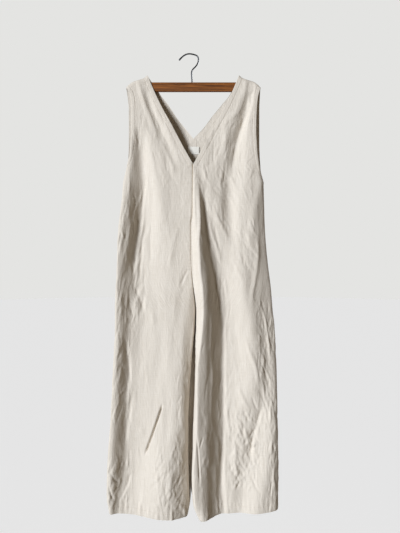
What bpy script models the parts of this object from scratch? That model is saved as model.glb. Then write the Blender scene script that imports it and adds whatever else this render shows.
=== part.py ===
"""A sleeveless, V-necked, wide-legged linen jumpsuit hung on a wooden bar hanger.

The garment is four panels, each cut in one from shoulder to hem: front left, front right,
back left and back right. They meet at the shoulders, the centre front and centre back, the
side seams and the inseams. Left and right are as seen from the front.

Frame: +Z up, -Y towards the viewer, +X to the viewer's right. The origin is where a nail or
rail bears, on the inner side of the hook. The tables are in millimetres and the scene is in
metres.
"""

import math
from collections import namedtuple

import bmesh
import bpy
import numpy as np

MM = 0.001
NAME = "linen_jumpsuit_on_hanger"

# Cloth
WALL = 1.5  # thickness of the cloth wall
SEAM_GAP = 0.3  # between two panels at a seam
FRONT_COLUMNS = 22  # faces across a front panel
BACK_COLUMNS = 14  # faces across a back panel

# Heights
LEVEL_Z = -480.0  # the first row that runs level, below the armholes
FRONT_V_Z = -366.0
BACK_V_Z = -273.0
UNDERARM_Z = -426.0
RISE_TOP_Z = -690.0  # where the front and back seams begin to curve under
CROTCH_Z = -835.0
HEM_INNER_Z = -1502.0
HEM_OUTER_Z = -1485.0

# Hanger
BAR_LENGTH = 396.0
BAR_THICKNESS = 13.0
BAR_HEIGHT = 31.0
BAR_EDGE = 3.0  # rounding of the bar's edges
BAR_TOP_Z = -91.0
WIRE_RADIUS = 1.9
BORE_DEPTH = 16.0  # how far the hook's shank goes into the bar
BORE_GAP = 0.3
SHANK_X = -4.2  # where the shank enters the bar

# Label
LABEL_WIDTH = 38.0
LABEL_HEIGHT = 26.0
LABEL_TOP_Z = -301.0
LABEL_THICKNESS = 1.0
LABEL_GAP = 0.4

# The shoulder seam, from the neck point outwards: it stands clear of the bar by the neck,
# rests on the bar's end and droops past it.
Shoulder = namedtuple("Shoulder", "x z")
SHOULDER = (
    Shoulder(151.0, -68.0),
    Shoulder(160.0, -75.5),
    Shoulder(175.0, -82.0),
    Shoulder(196.0, -88.0),
    Shoulder(210.0, -97.0),
    Shoulder(222.0, -109.0),
)

# How the cloth turns over the bar: share of its full depth at each drop below the seam.
Turn = namedtuple("Turn", "drop share")
SHOULDER_TURN = (Turn(0.0, 0.0), Turn(0.6, 0.47), Turn(3.0, 0.84), Turn(8.0, 1.0))

# The V necklines: half width at each height.
Neck = namedtuple("Neck", "z x")
NECKLINE = {
    "front": (
        Neck(-366.0, 0.15),
        Neck(-305.0, 34.0),
        Neck(-243.0, 66.0),
        Neck(-177.0, 102.0),
        Neck(-116.0, 131.0),
        Neck(-68.0, 151.0),
    ),
    "back": (
        Neck(-273.0, 0.15),
        Neck(-238.0, 34.0),
        Neck(-201.0, 62.0),
        Neck(-163.0, 93.0),
        Neck(-130.0, 120.0),
        Neck(-68.0, 151.0),
    ),
}

# The armholes: distance of the cut edge from the axis at each height.
Arm = namedtuple("Arm", "z x")
ARMHOLE = {
    ("front", "left"): (
        Arm(-426.0, 228.0),
        Arm(-380.0, 218.0),
        Arm(-320.0, 206.0),
        Arm(-250.0, 201.0),
        Arm(-165.0, 201.0),
        Arm(-135.0, 206.0),
        Arm(-109.0, 222.0),
    ),
    ("front", "right"): (
        Arm(-426.0, 231.0),
        Arm(-383.0, 218.0),
        Arm(-320.0, 209.0),
        Arm(-247.0, 206.0),
        Arm(-188.0, 208.0),
        Arm(-140.0, 213.0),
        Arm(-109.0, 222.0),
    ),
    ("back", "left"): (
        Arm(-426.0, 228.0),
        Arm(-383.0, 220.0),
        Arm(-300.0, 215.0),
        Arm(-180.0, 215.0),
        Arm(-109.0, 222.0),
    ),
    ("back", "right"): (
        Arm(-426.0, 231.0),
        Arm(-383.0, 223.0),
        Arm(-300.0, 219.0),
        Arm(-180.0, 219.0),
        Arm(-109.0, 222.0),
    ),
}

# The side seam below the underarm: distance from the axis, and how far forward (-Y) it lies.
Side = namedtuple("Side", "z x y")
SIDE_SEAM = {
    "left": (
        Side(-1502.0, 265.0, -16.0),
        Side(-1470.0, 270.0, -16.0),
        Side(-1436.0, 276.0, -18.0),
        Side(-1370.0, 275.0, -20.0),
        Side(-1172.0, 264.0, -22.0),
        Side(-973.0, 254.0, -22.0),
        Side(-776.0, 248.0, -24.0),
        Side(-578.0, 240.0, -22.0),
        Side(-478.0, 230.0, -14.0),
        Side(-426.0, 228.0, -7.0),
        Side(-340.0, 224.0, 0.0),
        Side(-60.0, 222.0, 0.0),
    ),
    "right": (
        Side(-1502.0, 277.0, -4.0),
        Side(-1370.0, 279.0, -4.0),
        Side(-1172.0, 276.0, -4.0),
        Side(-973.0, 270.0, -4.0),
        Side(-874.0, 264.0, -4.0),
        Side(-776.0, 256.0, -4.0),
        Side(-677.0, 244.0, -4.0),
        Side(-578.0, 236.0, -3.0),
        Side(-478.0, 233.0, -2.0),
        Side(-426.0, 231.0, -1.0),
        Side(-340.0, 226.0, 0.0),
        Side(-60.0, 222.0, 0.0),
    ),
}

# The inseam of each leg, as a signed x; the legs hang a few millimetres apart.
Inseam = namedtuple("Inseam", "z left right")
INSEAM = (
    Inseam(-1502.0, -18.0, 18.0),
    Inseam(-1480.0, -14.0, 10.0),
    Inseam(-1412.0, -9.5, 2.4),
    Inseam(-1320.0, -11.0, -0.8),
    Inseam(-1237.0, -12.5, -0.7),
    Inseam(-1115.0, -8.0, 0.6),
    Inseam(-1000.0, -5.0, 1.6),
    Inseam(-900.0, -3.0, 1.8),
    Inseam(-835.0, -0.15, 0.15),
)

# Depth of the cloth in front of and behind the hanging plane, before its folds.
Depth = namedtuple("Depth", "z front back")
DEPTH = (
    Depth(-1502.0, 56.0, 26.0),
    Depth(-1300.0, 54.0, 25.0),
    Depth(-1072.0, 52.0, 24.0),
    Depth(-845.0, 51.0, 21.0),
    Depth(-677.0, 47.0, 18.0),
    Depth(-478.0, 38.0, 15.0),
    Depth(-366.0, 28.0, 13.5),
    Depth(-250.0, 18.0, 12.0),
    Depth(-180.0, 13.0, 10.5),
    Depth(-125.0, 9.6, 9.6),
    Depth(-60.0, 9.6, 9.6),
)

# How much of the cloth's depth is gone at the armhole's edge and at the side seam.
Edge = namedtuple("Edge", "z turned")
EDGE_TURN = (
    Edge(-1502.0, 1.0),
    Edge(-426.0, 1.0),
    Edge(-402.0, 0.9),
    Edge(-378.0, 0.54),
    Edge(-350.0, 0.3),
    Edge(-280.0, 0.12),
    Edge(-180.0, 0.1),
    Edge(-60.0, 0.12),
)

# Squareness of the roll from the panel's face into its seams.
Roll = namedtuple("Roll", "inner outer")
ROLL = {
    ("front", "left"): Roll(4.6, 11.0),
    ("front", "right"): Roll(4.6, 3.6),
    ("back", "left"): Roll(3.6, 5.0),
    ("back", "right"): Roll(3.6, 4.6),
}
SIDE_REACH = 4.0  # how sharply the side seam's forward pull dies out across the panel

# The largest folds. Each is a run of stations down the cloth: where its line lies, how far
# the cloth stands out (+) or sinks in (-) there, and how wide the fold is to each side.
Station = namedtuple("Station", "z x height left right")
FOLDS = {
    "front": {
        "left_strap_trough": (
            Station(-380.0, -64.0, 0.0, 40.0, 26.0),
            Station(-315.0, -80.0, -6.0, 40.0, 26.0),
            Station(-250.0, -108.0, -6.0, 34.0, 26.0),
            Station(-183.0, -138.0, -6.0, 22.0, 20.0),
            Station(-110.0, -158.0, 0.0, 16.0, 18.0),
        ),
        "left_side_trough": (
            Station(-1502.0, -240.0, -12.0, 26.0, 110.0),
            Station(-1450.0, -234.0, -16.0, 34.0, 120.0),
            Station(-1322.0, -214.0, -22.0, 46.0, 120.0),
            Station(-1195.0, -214.0, -21.0, 40.0, 120.0),
            Station(-1070.0, -208.0, -20.0, 38.0, 130.0),
            Station(-940.0, -200.0, -19.0, 42.0, 135.0),
            Station(-808.0, -186.0, -21.0, 58.0, 130.0),
            Station(-676.0, -182.0, -26.0, 54.0, 120.0),
            Station(-544.0, -166.0, -28.0, 60.0, 80.0),
            Station(-445.0, -162.0, -23.0, 56.0, 56.0),
            Station(-315.0, -168.0, -15.0, 36.0, 34.0),
            Station(-240.0, -172.0, 0.0, 34.0, 30.0),
        ),
        "left_leg_crest": (
            Station(-1502.0, -88.0, 20.0, 110.0, 78.0),
            Station(-1450.0, -84.0, 22.0, 110.0, 74.0),
            Station(-1322.0, -72.0, 20.0, 110.0, 64.0),
            Station(-1195.0, -46.0, 14.0, 90.0, 42.0),
            Station(-1070.0, -40.0, 10.0, 80.0, 34.0),
            Station(-940.0, -36.0, 7.0, 60.0, 28.0),
            Station(-808.0, -34.0, 0.0, 50.0, 24.0),
        ),
        "centre_ridge": (
            Station(-1502.0, 32.0, 30.0, 26.0, 66.0),
            Station(-1450.0, 24.0, 33.0, 22.0, 72.0),
            Station(-1354.0, 20.0, 34.0, 20.0, 74.0),
            Station(-1225.0, 24.0, 34.0, 24.0, 76.0),
            Station(-1070.0, 28.0, 34.0, 28.0, 74.0),
            Station(-900.0, 31.0, 32.0, 32.0, 72.0),
            Station(-835.0, 31.0, 29.0, 32.0, 68.0),
            Station(-760.0, 26.0, 25.0, 28.0, 62.0),
            Station(-676.0, 18.0, 21.0, 22.0, 54.0),
            Station(-570.0, 10.0, 13.0, 16.0, 38.0),
            Station(-480.0, 7.0, 8.0, 14.0, 26.0),
            Station(-400.0, 6.0, 3.0, 13.0, 20.0),
            Station(-340.0, 6.0, 0.0, 13.0, 18.0),
        ),
        "right_valley": (
            Station(-1502.0, 98.0, -22.0, 66.0, 100.0),
            Station(-1322.0, 106.0, -26.0, 72.0, 110.0),
            Station(-1070.0, 108.0, -26.0, 70.0, 118.0),
            Station(-940.0, 105.0, -25.0, 66.0, 108.0),
            Station(-808.0, 96.0, -22.0, 58.0, 84.0),
            Station(-676.0, 75.0, -15.0, 44.0, 70.0),
            Station(-560.0, 52.0, -9.0, 30.0, 50.0),
            Station(-470.0, 37.0, -4.0, 22.0, 34.0),
            Station(-400.0, 29.0, 0.0, 20.0, 22.0),
        ),
        "right_strap_trough": (
            Station(-800.0, 120.0, 0.0, 70.0, 60.0),
            Station(-676.0, 120.0, -9.0, 74.0, 60.0),
            Station(-544.0, 116.0, -14.0, 70.0, 60.0),
            Station(-445.0, 124.0, -15.0, 74.0, 48.0),
            Station(-315.0, 142.0, -13.0, 52.0, 32.0),
            Station(-183.0, 171.0, -9.0, 32.0, 16.0),
            Station(-120.0, 180.0, 0.0, 24.0, 12.0),
        ),
        "right_margin": (
            Station(-1195.0, 272.0, 0.0, 60.0, 30.0),
            Station(-1070.0, 268.0, -12.0, 80.0, 30.0),
            Station(-940.0, 268.0, -20.0, 90.0, 30.0),
            Station(-800.0, 264.0, -24.0, 94.0, 30.0),
            Station(-676.0, 250.0, -19.0, 84.0, 30.0),
            Station(-500.0, 240.0, -10.0, 60.0, 30.0),
            Station(-420.0, 232.0, 0.0, 40.0, 30.0),
        ),
        "right_shin_trough": (
            Station(-1502.0, 156.0, -10.0, 40.0, 50.0),
            Station(-1450.0, 164.0, -14.0, 46.0, 60.0),
            Station(-1322.0, 186.0, -21.0, 60.0, 72.0),
            Station(-1195.0, 212.0, -18.0, 78.0, 56.0),
            Station(-1100.0, 224.0, -9.0, 60.0, 40.0),
            Station(-1020.0, 232.0, 0.0, 50.0, 30.0),
        ),
    },
    "back": {
        "back_left_trough": (
            Station(-1502.0, -128.0, -12.0, 50.0, 44.0),
            Station(-1100.0, -134.0, -12.0, 50.0, 44.0),
            Station(-800.0, -122.0, -7.0, 44.0, 44.0),
            Station(-520.0, -108.0, 0.0, 40.0, 40.0),
        ),
        "back_right_trough": (
            Station(-1502.0, 118.0, -10.0, 40.0, 52.0),
            Station(-1180.0, 126.0, -13.0, 42.0, 54.0),
            Station(-860.0, 140.0, -9.0, 42.0, 50.0),
            Station(-600.0, 150.0, -5.0, 40.0, 46.0),
            Station(-400.0, 158.0, 0.0, 36.0, 40.0),
        ),
        "back_right_ridge": (
            Station(-1502.0, 204.0, 8.0, 40.0, 34.0),
            Station(-1200.0, 206.0, 8.0, 40.0, 34.0),
            Station(-960.0, 208.0, 0.0, 40.0, 34.0),
        ),
    },
}

# The rows of a panel: above LEVEL_Z as a share of the way down from the shoulder seam, from
# there to the crotch as heights, and below it as a share of the way down the leg.
SLOPED_DROPS = (0.0, 0.6, 3.0, 8.0, 38.0, 80.0, 122.0, 164.0)
BODY_ROWS = (-550.0, -620.0, -690.0, -742.0, -785.0, -815.0, CROTCH_Z)
LEG_ROWS = (0.035, 0.11, 0.22, 0.35, 0.49, 0.62, 0.74, 0.84, 0.93, 1.0)

# The hook's wire, from inside the bar up the shank and round the arc to its blunt tip.
Wire = namedtuple("Wire", "x z")
HOOK_ROUTE = (
    Wire(SHANK_X, BAR_TOP_Z - BORE_DEPTH + 1.0),
    Wire(SHANK_X, BAR_TOP_Z + 1.0),
    Wire(-5.4, -70.0),
    Wire(-6.2, -56.0),
    Wire(-1.5, -46.5),
    Wire(7.0, -39.0),
    Wire(14.0, -29.5),
    Wire(17.6, -17.0),
    Wire(15.6, -6.0),
    Wire(9.0, -0.4),
    Wire(0.0, 2.0),
    Wire(-12.0, 4.4),
    Wire(-24.0, 2.4),
    Wire(-35.0, -4.4),
    Wire(-45.5, -15.5),
)
HOOK_STEPS = 3  # wire segments between two route points
TIP_SWELL = 1.25  # the tip's radius against the wire's

Finish = namedtuple("Finish", "colour roughness metallic")
LINEN = Finish((0.79, 0.73, 0.66), 0.9, 0.0)
STAINED_WOOD = Finish((0.19, 0.06, 0.02), 0.45, 0.0)
STEEL_WIRE = Finish((0.56, 0.57, 0.58), 0.3, 1.0)
WHITE_TAPE = Finish((0.87, 0.87, 0.85), 0.6, 0.0)

SIGN = {"left": -1.0, "right": 1.0}


def knot_slopes(knots, values):
    """The slope at each knot that lets a curve through them rise and fall without overshoot."""
    secants = np.diff(values) / np.diff(knots)
    before, after = secants[:-1], secants[1:]
    same_way = before * after > 0
    total = np.where(same_way, before + after, 1.0)
    inside = np.where(same_way, 2.0 * before * after / total, 0.0)
    return np.concatenate([secants[:1], inside, secants[-1:]])


def through(knots, values, at):
    """A smooth curve through values at rising knots, read at some places."""
    slopes = knot_slopes(knots, values)
    at = np.clip(np.asarray(at, float), knots[0], knots[-1])
    i = np.clip(np.searchsorted(knots, at) - 1, 0, len(knots) - 2)
    span = knots[i + 1] - knots[i]
    t = (at - knots[i]) / span
    return (
        (2 * t**3 - 3 * t**2 + 1) * values[i]
        + (t**3 - 2 * t**2 + t) * span * slopes[i]
        + (3 * t**2 - 2 * t**3) * values[i + 1]
        + (t**3 - t**2) * span * slopes[i + 1]
    )


def smooth(table, at, column, key="z"):
    """A smooth curve through one column of a table, read along its key column."""
    rows = sorted(table, key=lambda row: getattr(row, key))
    knots = np.array([getattr(row, key) for row in rows])
    values = np.array([getattr(row, column) for row in rows])
    return through(knots, values, at)


def lobe(offset, left, right):
    """A soft rise that is 1 on its line and 0 past its width to either side."""
    across = np.where(offset < 0, -offset / left, offset / right)
    return 0.5 + 0.5 * np.cos(math.pi * np.clip(across, 0.0, 1.0))


def fold_height(face, x, z):
    """How far the large folds move the cloth outwards at a place."""
    total = np.zeros(np.broadcast(x, z).shape)
    for stations in FOLDS[face].values():
        low, high = min(s.z for s in stations), max(s.z for s in stations)
        at = {c: smooth(stations, z, c) for c in ("x", "height", "left", "right")}
        within = (z >= low) & (z <= high)
        total += within * at["height"] * lobe(x - at["x"], at["left"], at["right"])
    return total


def rise(z):
    """0 in the body and 1 in the legs, between them the rise's curve to the crotch."""
    down = (RISE_TOP_Z - np.asarray(z, float)) / (RISE_TOP_Z - CROTCH_Z)
    return np.clip(down, 0.0, 1.0) ** 2.2


def roll(share, power):
    """The profile of a panel that lies flat and rolls to nothing at share 1."""
    return np.maximum(1.0 - np.clip(share, 0.0, 1.0) ** power, 0.0) ** (1.0 / power)


def depth(face, side, share, x, z, drop):
    """The signed y of the cloth's outer side, from a place on the panel."""
    forward = -1.0 if face == "front" else 1.0
    rolls = ROLL[face, side]
    profile = 1.0 - smooth(EDGE_TURN, z, "turned") * (1.0 - roll(share, rolls.outer))
    profile = profile * (1.0 - rise(z) * (1.0 - roll(1.0 - share, rolls.inner)))
    height = smooth(DEPTH, z, face) + fold_height(face, x, z)
    turn = np.interp(drop, [t.drop for t in SHOULDER_TURN], [t.share for t in SHOULDER_TURN])
    pull = smooth(SIDE_SEAM[side], z, "y") * share**SIDE_REACH
    return pull + forward * (height * profile * turn + SEAM_GAP / 2)


def edge_x(face, side, z):
    """The distance from the axis of the armhole's edge or the side seam."""
    armhole = smooth(ARMHOLE[face, side], z, "x")
    return np.where(z > UNDERARM_Z, armhole, smooth(SIDE_SEAM[side], z, "x"))


def inner_x(face, side, z):
    """The distance from the axis, to its own side, of the neckline, centre seam or inseam."""
    neck = smooth(NECKLINE[face], z, "x")
    leg = SIGN[side] * smooth(INSEAM, z, side)
    bottom = FRONT_V_Z if face == "front" else BACK_V_Z
    return np.where(z > bottom, neck, np.where(z < CROTCH_Z, leg, SEAM_GAP / 2))


def sloped_shares():
    """The rows between the shoulder seam and LEVEL_Z, as shares of the way down."""
    neck, tip = SHOULDER[0].z, SHOULDER[-1].z
    back_v = (neck - BACK_V_Z) / (neck - LEVEL_Z)
    front_v = (neck - FRONT_V_Z) / (neck - LEVEL_Z)
    underarm = (tip - UNDERARM_Z) / (tip - LEVEL_Z)
    rows = [drop / (neck - LEVEL_Z) for drop in SLOPED_DROPS]
    rows += [back_v, (back_v + front_v) / 2, front_v, (front_v + underarm) / 2, underarm]
    return rows + [1.0]


def across(columns):
    """Shares across a panel, closer together towards its two edges."""
    u = np.linspace(0.0, 1.0, columns + 1)
    return 0.45 * u + 0.55 * (0.5 - 0.5 * np.cos(math.pi * u))


def panel_rows(face, side, share):
    """The x, z and drop below the shoulder of a panel's points, a row for each section."""
    seam_x = SHOULDER[0].x + share * (SHOULDER[-1].x - SHOULDER[0].x)
    seam_z = smooth(SHOULDER, seam_x, "z", key="x")
    hem_z = HEM_INNER_Z + share * (HEM_OUTER_Z - HEM_INNER_Z)
    rows = [seam_z + down * (LEVEL_Z - seam_z) for down in sloped_shares()]
    rows += [np.full_like(share, level) for level in BODY_ROWS]
    rows += [CROTCH_Z + down * (hem_z - CROTCH_Z) for down in LEG_ROWS]
    z = np.array(rows)
    inner = inner_x(face, side, z[:, :1])
    outer = edge_x(face, side, z[:, -1:])
    return inner + share * (outer - inner), z, seam_z - z


def outward_normals(points):
    """Unit normals of a grid of points, all on the same side of it."""
    along, down = np.gradient(points, axis=1), np.gradient(points, axis=0)
    normals = np.cross(along, down)
    return normals / np.linalg.norm(normals, axis=2, keepdims=True)


def seam_normals(normals, face, z):
    """Turn the edge normals into the seams' own planes, so that two panels never meet."""
    bottom = FRONT_V_Z if face == "front" else BACK_V_Z
    crotch = np.abs(z[:, 0] - CROTCH_Z) < 0.01
    centre = (z[:, 0] <= bottom + 0.01) & (z[:, 0] > CROTCH_Z)
    inseam = (z[:, 0] < CROTCH_Z) & ~crotch
    below_arm = z[:, -1] <= UNDERARM_Z + 0.01
    normals[centre, 0, 0] = 0.0
    normals[inseam, 0, 1] = 0.0
    normals[below_arm, -1, 1] = 0.0
    normals[0, :, 1] = 0.0
    normals[-1, :, 2] = 0.0
    normals[crotch, 0] = (0.0, 0.0, -1.0)
    return normals / np.linalg.norm(normals, axis=2, keepdims=True)


def panel_grid(face, side, columns):
    """The outer points of a panel and the inner points one wall behind them."""
    share = across(columns)
    x, z, drop = panel_rows(face, side, share)
    signed = SIGN[side] * x
    y = depth(face, side, share[None, :], signed, z, drop)
    outer = np.stack([signed, y, z], axis=2)
    normals = outward_normals(outer)
    if (side == "right") == (face == "front"):
        normals = -normals
    return outer, outer - WALL * seam_normals(normals, face, z)


def rim(index):
    """The indices round the edge of a grid, in order."""
    return np.concatenate([index[0], index[1:, -1], index[-1, -2::-1], index[-2:0:-1, 0]])


def wall_mesh(name, outer, inner):
    """A closed mesh between two matching grids of points given in millimetres."""
    rows, columns = outer.shape[:2]
    count = rows * columns
    index = np.arange(count).reshape(rows, columns)
    a, b = index[:-1, :-1].ravel(), index[:-1, 1:].ravel()
    c, d = index[1:, 1:].ravel(), index[1:, :-1].ravel()
    faces = list(zip(a, b, c)) + list(zip(a, c, d))
    faces += [(r + count, q + count, p + count) for p, q, r in faces]
    edge = rim(index)
    for p, q in zip(np.roll(edge, 1), edge):
        faces += [(q, p, p + count), (q, p + count, q + count)]
    points = np.concatenate([outer.reshape(-1, 3), inner.reshape(-1, 3)]) * MM
    mesh = bpy.data.meshes.new(name)
    mesh.from_pydata(points.tolist(), [], np.array(faces).tolist())
    shell = bmesh.new()
    shell.from_mesh(mesh)
    bmesh.ops.recalc_face_normals(shell, faces=shell.faces)
    shell.to_mesh(mesh)
    shell.free()
    mesh.shade_smooth()
    mesh.set_sharp_from_angle(angle=math.radians(50))
    return mesh


def material(name, finish):
    """A plain Principled material."""
    made = bpy.data.materials.new(name)
    made.use_nodes = True
    shader = made.node_tree.nodes["Principled BSDF"]
    shader.inputs["Base Color"].default_value = (*finish.colour, 1.0)
    shader.inputs["Roughness"].default_value = finish.roughness
    shader.inputs["Metallic"].default_value = finish.metallic
    return made


def add(name, data, finish, collection):
    """Put an object in the part's collection with its own material."""
    item = bpy.data.objects.new(name, data)
    data.materials.append(material(name + "_finish", finish))
    collection.objects.link(item)
    return item


def add_panel(face, side, columns, collection):
    """One of the garment's four panels, cut in one from the shoulder to the hem."""
    name = f"{face}_{side}"
    outer, inner = panel_grid(face, side, columns)
    return add(name, wall_mesh(name, outer, inner), LINEN, collection)


def add_label(collection):
    """The bare neck label, sewn inside the back just below its V."""
    x = np.linspace(-LABEL_WIDTH / 2, LABEL_WIDTH / 2, 9)[None, :]
    z = LABEL_TOP_Z - np.linspace(0.0, LABEL_HEIGHT, 5)[:, None]
    x, z = np.broadcast_arrays(x, z)
    share = np.abs(x) / edge_x("back", "right", z)
    y = depth("back", "right", share, x, z, np.full_like(z, 200.0))
    near_cloth = y - WALL - LABEL_GAP
    outer = np.stack([x, near_cloth, z], axis=2)
    inner = np.stack([x, near_cloth - LABEL_THICKNESS, z], axis=2)
    return add("neck_label", wall_mesh("neck_label", outer, inner), WHITE_TAPE, collection)


def add_bore_cutter(cutters):
    """The cylinder that bores the bar for the hook's shank."""
    mesh = bpy.data.meshes.new("shank_bore")
    drill = bmesh.new()
    size = (WIRE_RADIUS + BORE_GAP) * MM
    length = 2 * BORE_DEPTH * MM
    bmesh.ops.create_cone(
        drill, cap_ends=True, segments=16, radius1=size, radius2=size, depth=length
    )
    drill.to_mesh(mesh)
    drill.free()
    cutter = bpy.data.objects.new("shank_bore", mesh)
    cutter.location = (SHANK_X * MM, 0.0, BAR_TOP_Z * MM)
    cutter.hide_render = True
    cutter.display_type = "WIRE"
    cutters.objects.link(cutter)
    return cutter


def add_bar(collection, cutters):
    """The straight wooden bar, bored from above for the hook's shank."""
    mesh = bpy.data.meshes.new("hanger_bar")
    body = bmesh.new()
    bmesh.ops.create_cube(body, size=1.0)
    size = (BAR_LENGTH * MM, BAR_THICKNESS * MM, BAR_HEIGHT * MM)
    bmesh.ops.scale(body, vec=size, verts=body.verts)
    body.to_mesh(mesh)
    body.free()
    bar = add("hanger_bar", mesh, STAINED_WOOD, collection)
    bar.location = (0.0, 0.0, (BAR_TOP_Z - BAR_HEIGHT / 2) * MM)
    rounding = bar.modifiers.new("rounded edges", "BEVEL")
    rounding.width = BAR_EDGE * MM
    rounding.segments = 3
    cut = bar.modifiers.new("shank bore", "BOOLEAN")
    cut.operation = "DIFFERENCE"
    cut.object = add_bore_cutter(cutters)
    return bar


def add_hook(collection):
    """The bent wire hook, with its shank standing in the bar."""
    turns = np.arange(len(HOOK_ROUTE), dtype=float)
    steps = np.linspace(0.0, turns[-1], (len(HOOK_ROUTE) - 1) * HOOK_STEPS + 1)
    x = through(turns, np.array([point.x for point in HOOK_ROUTE]), steps)
    z = through(turns, np.array([point.z for point in HOOK_ROUTE]), steps)
    curve = bpy.data.curves.new("hanger_hook", "CURVE")
    curve.dimensions = "3D"
    curve.bevel_depth = WIRE_RADIUS * MM
    curve.bevel_resolution = 2
    curve.use_fill_caps = True
    line = curve.splines.new("POLY")
    line.points.add(len(steps) - 1)
    for i, point in enumerate(line.points):
        point.co = (x[i] * MM, 0.0, z[i] * MM, 1.0)
        point.radius = 1.0 + (TIP_SWELL - 1.0) * max(0.0, steps[i] - turns[-1] + 1.0)
    return add("hanger_hook", curve, STEEL_WIRE, collection)


def clear_scene():
    """Remove every object that the file starts with."""
    for item in list(bpy.data.objects):
        bpy.data.objects.remove(item, do_unlink=True)


def main():
    """Build the jumpsuit and its hanger."""
    clear_scene()
    parts = bpy.data.collections.new(NAME)
    cutters = bpy.data.collections.new("cutters")
    bpy.context.scene.collection.children.link(parts)
    bpy.context.scene.collection.children.link(cutters)
    for face, columns in (("front", FRONT_COLUMNS), ("back", BACK_COLUMNS)):
        for side in SIGN:
            add_panel(face, side, columns, parts)
    add_label(parts)
    add_bar(parts, cutters)
    add_hook(parts)


main()
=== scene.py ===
"""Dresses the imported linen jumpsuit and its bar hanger.

Each panel of the garment is a thin shell near the form of its solid, with the creases that hung
linen keeps, its turned and topstitched edges, and a woven finish. Left and right are as seen
from the front. The tables are in millimetres, in the frame of the solids: +Z up, -Y towards
the viewer, the origin where the hook bears. Meshes are made in metres.
"""

import logging
import math
from dataclasses import dataclass, field
from enum import Enum
from typing import Any

import bpy
import numpy as np
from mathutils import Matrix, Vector


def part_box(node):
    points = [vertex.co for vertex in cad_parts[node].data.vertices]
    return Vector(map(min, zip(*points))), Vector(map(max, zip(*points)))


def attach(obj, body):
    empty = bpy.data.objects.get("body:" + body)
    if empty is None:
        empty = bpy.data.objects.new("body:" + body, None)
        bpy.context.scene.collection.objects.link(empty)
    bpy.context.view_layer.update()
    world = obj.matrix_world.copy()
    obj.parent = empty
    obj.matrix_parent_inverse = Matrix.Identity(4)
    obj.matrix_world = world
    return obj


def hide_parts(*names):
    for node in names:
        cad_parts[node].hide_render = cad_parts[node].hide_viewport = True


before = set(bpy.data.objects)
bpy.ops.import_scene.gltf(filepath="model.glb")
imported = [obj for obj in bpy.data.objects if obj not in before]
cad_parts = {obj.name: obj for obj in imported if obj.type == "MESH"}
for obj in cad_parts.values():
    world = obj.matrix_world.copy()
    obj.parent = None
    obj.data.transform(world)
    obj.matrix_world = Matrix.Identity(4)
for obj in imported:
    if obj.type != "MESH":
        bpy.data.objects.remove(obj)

Array = np.ndarray
Knots = tuple[tuple[float, ...], ...]

MM = 0.001
PER_METRE = 1000.0  # millimetres in a metre
BODY = "root"
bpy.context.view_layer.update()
LOG = logging.getLogger("jumpsuit")
TINY = 1e-9  # keeps a length of 0 from being divided by
SAME_ROW = 0.01  # heights this close are of one row
SWELLS = 400  # in one uneven wave
CHUNK = 2000  # points measured from a line at a time
FAR = 999.0  # the distance given to places too far from an edge to matter
PATH_STEPS = 8  # between two points of a crease's path


class Face(Enum):
    """The two faces of the hanging garment, each with its outward direction along Y."""

    FRONT = -1.0
    BACK = 1.0


class Side(Enum):
    """The two sides of the garment, each with its direction along X."""

    LEFT = -1.0
    RIGHT = 1.0


class Bend(Enum):
    """How the two flanks of a crease meet its line: rounded, or straight up to it."""

    SOFT = (False, False)
    SHARP_LEFT = (True, False)
    SHARP_RIGHT = (False, True)
    PINCHED = (True, True)


# ---------------------------------------------------------------- curves and small maths


@dataclass(frozen=True)
class Run:
    """A smooth run of one measure through its knots, which rises and falls with no overshoot."""

    knots: tuple[float, ...]
    values: tuple[float, ...]

    def at(self, where: Any) -> Array:
        """Read the run at some places, held level past its ends.

        Args:
            where: The places, in the unit of the knots.

        Returns:
            The measure at each place.
        """
        order = np.argsort(self.knots)
        knots, values = np.array(self.knots)[order], np.array(self.values)[order]
        secants = np.diff(values) / np.diff(knots)
        before, after = secants[:-1], secants[1:]
        total = np.where(before * after > 0, before + after, 1.0)
        inside = np.where(before * after > 0, 2.0 * before * after / total, 0.0)
        slopes = np.concatenate([secants[:1], inside, secants[-1:]])
        at = np.clip(np.asarray(where, float), knots[0], knots[-1])
        i = np.clip(np.searchsorted(knots, at) - 1, 0, len(knots) - 2)
        span = knots[i + 1] - knots[i]
        t = (at - knots[i]) / span
        return (
            (2 * t**3 - 3 * t**2 + 1) * values[i]
            + (t**3 - 2 * t**2 + t) * span * slopes[i]
            + (3 * t**2 - 2 * t**3) * values[i + 1]
            + (t**3 - t**2) * span * slopes[i + 1]
        )


def run(table: Knots, column: int = 1, key: int = 0) -> Run:
    """Take one column of a table as a smooth run along its key column."""
    return Run(tuple(row[key] for row in table), tuple(row[column] for row in table))


def ease(share: Any) -> Array:
    """Rise smoothly from 0 to 1 as share goes from 0 to 1."""
    t = np.clip(share, 0.0, 1.0)
    return t * t * (3.0 - 2.0 * t)


def lobe(offset: Array, left: Any, right: Any) -> Array:
    """A soft rise that is 1 on its line and 0 past its width to either side."""
    across = np.where(offset < 0, -offset / left, offset / right)
    return 0.5 + 0.5 * np.cos(math.pi * np.clip(across, 0.0, 1.0))


def unit(vectors: Array) -> Array:
    """Scale vectors to a length of 1."""
    return vectors / np.maximum(np.linalg.norm(vectors, axis=-1, keepdims=True), TINY)


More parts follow.
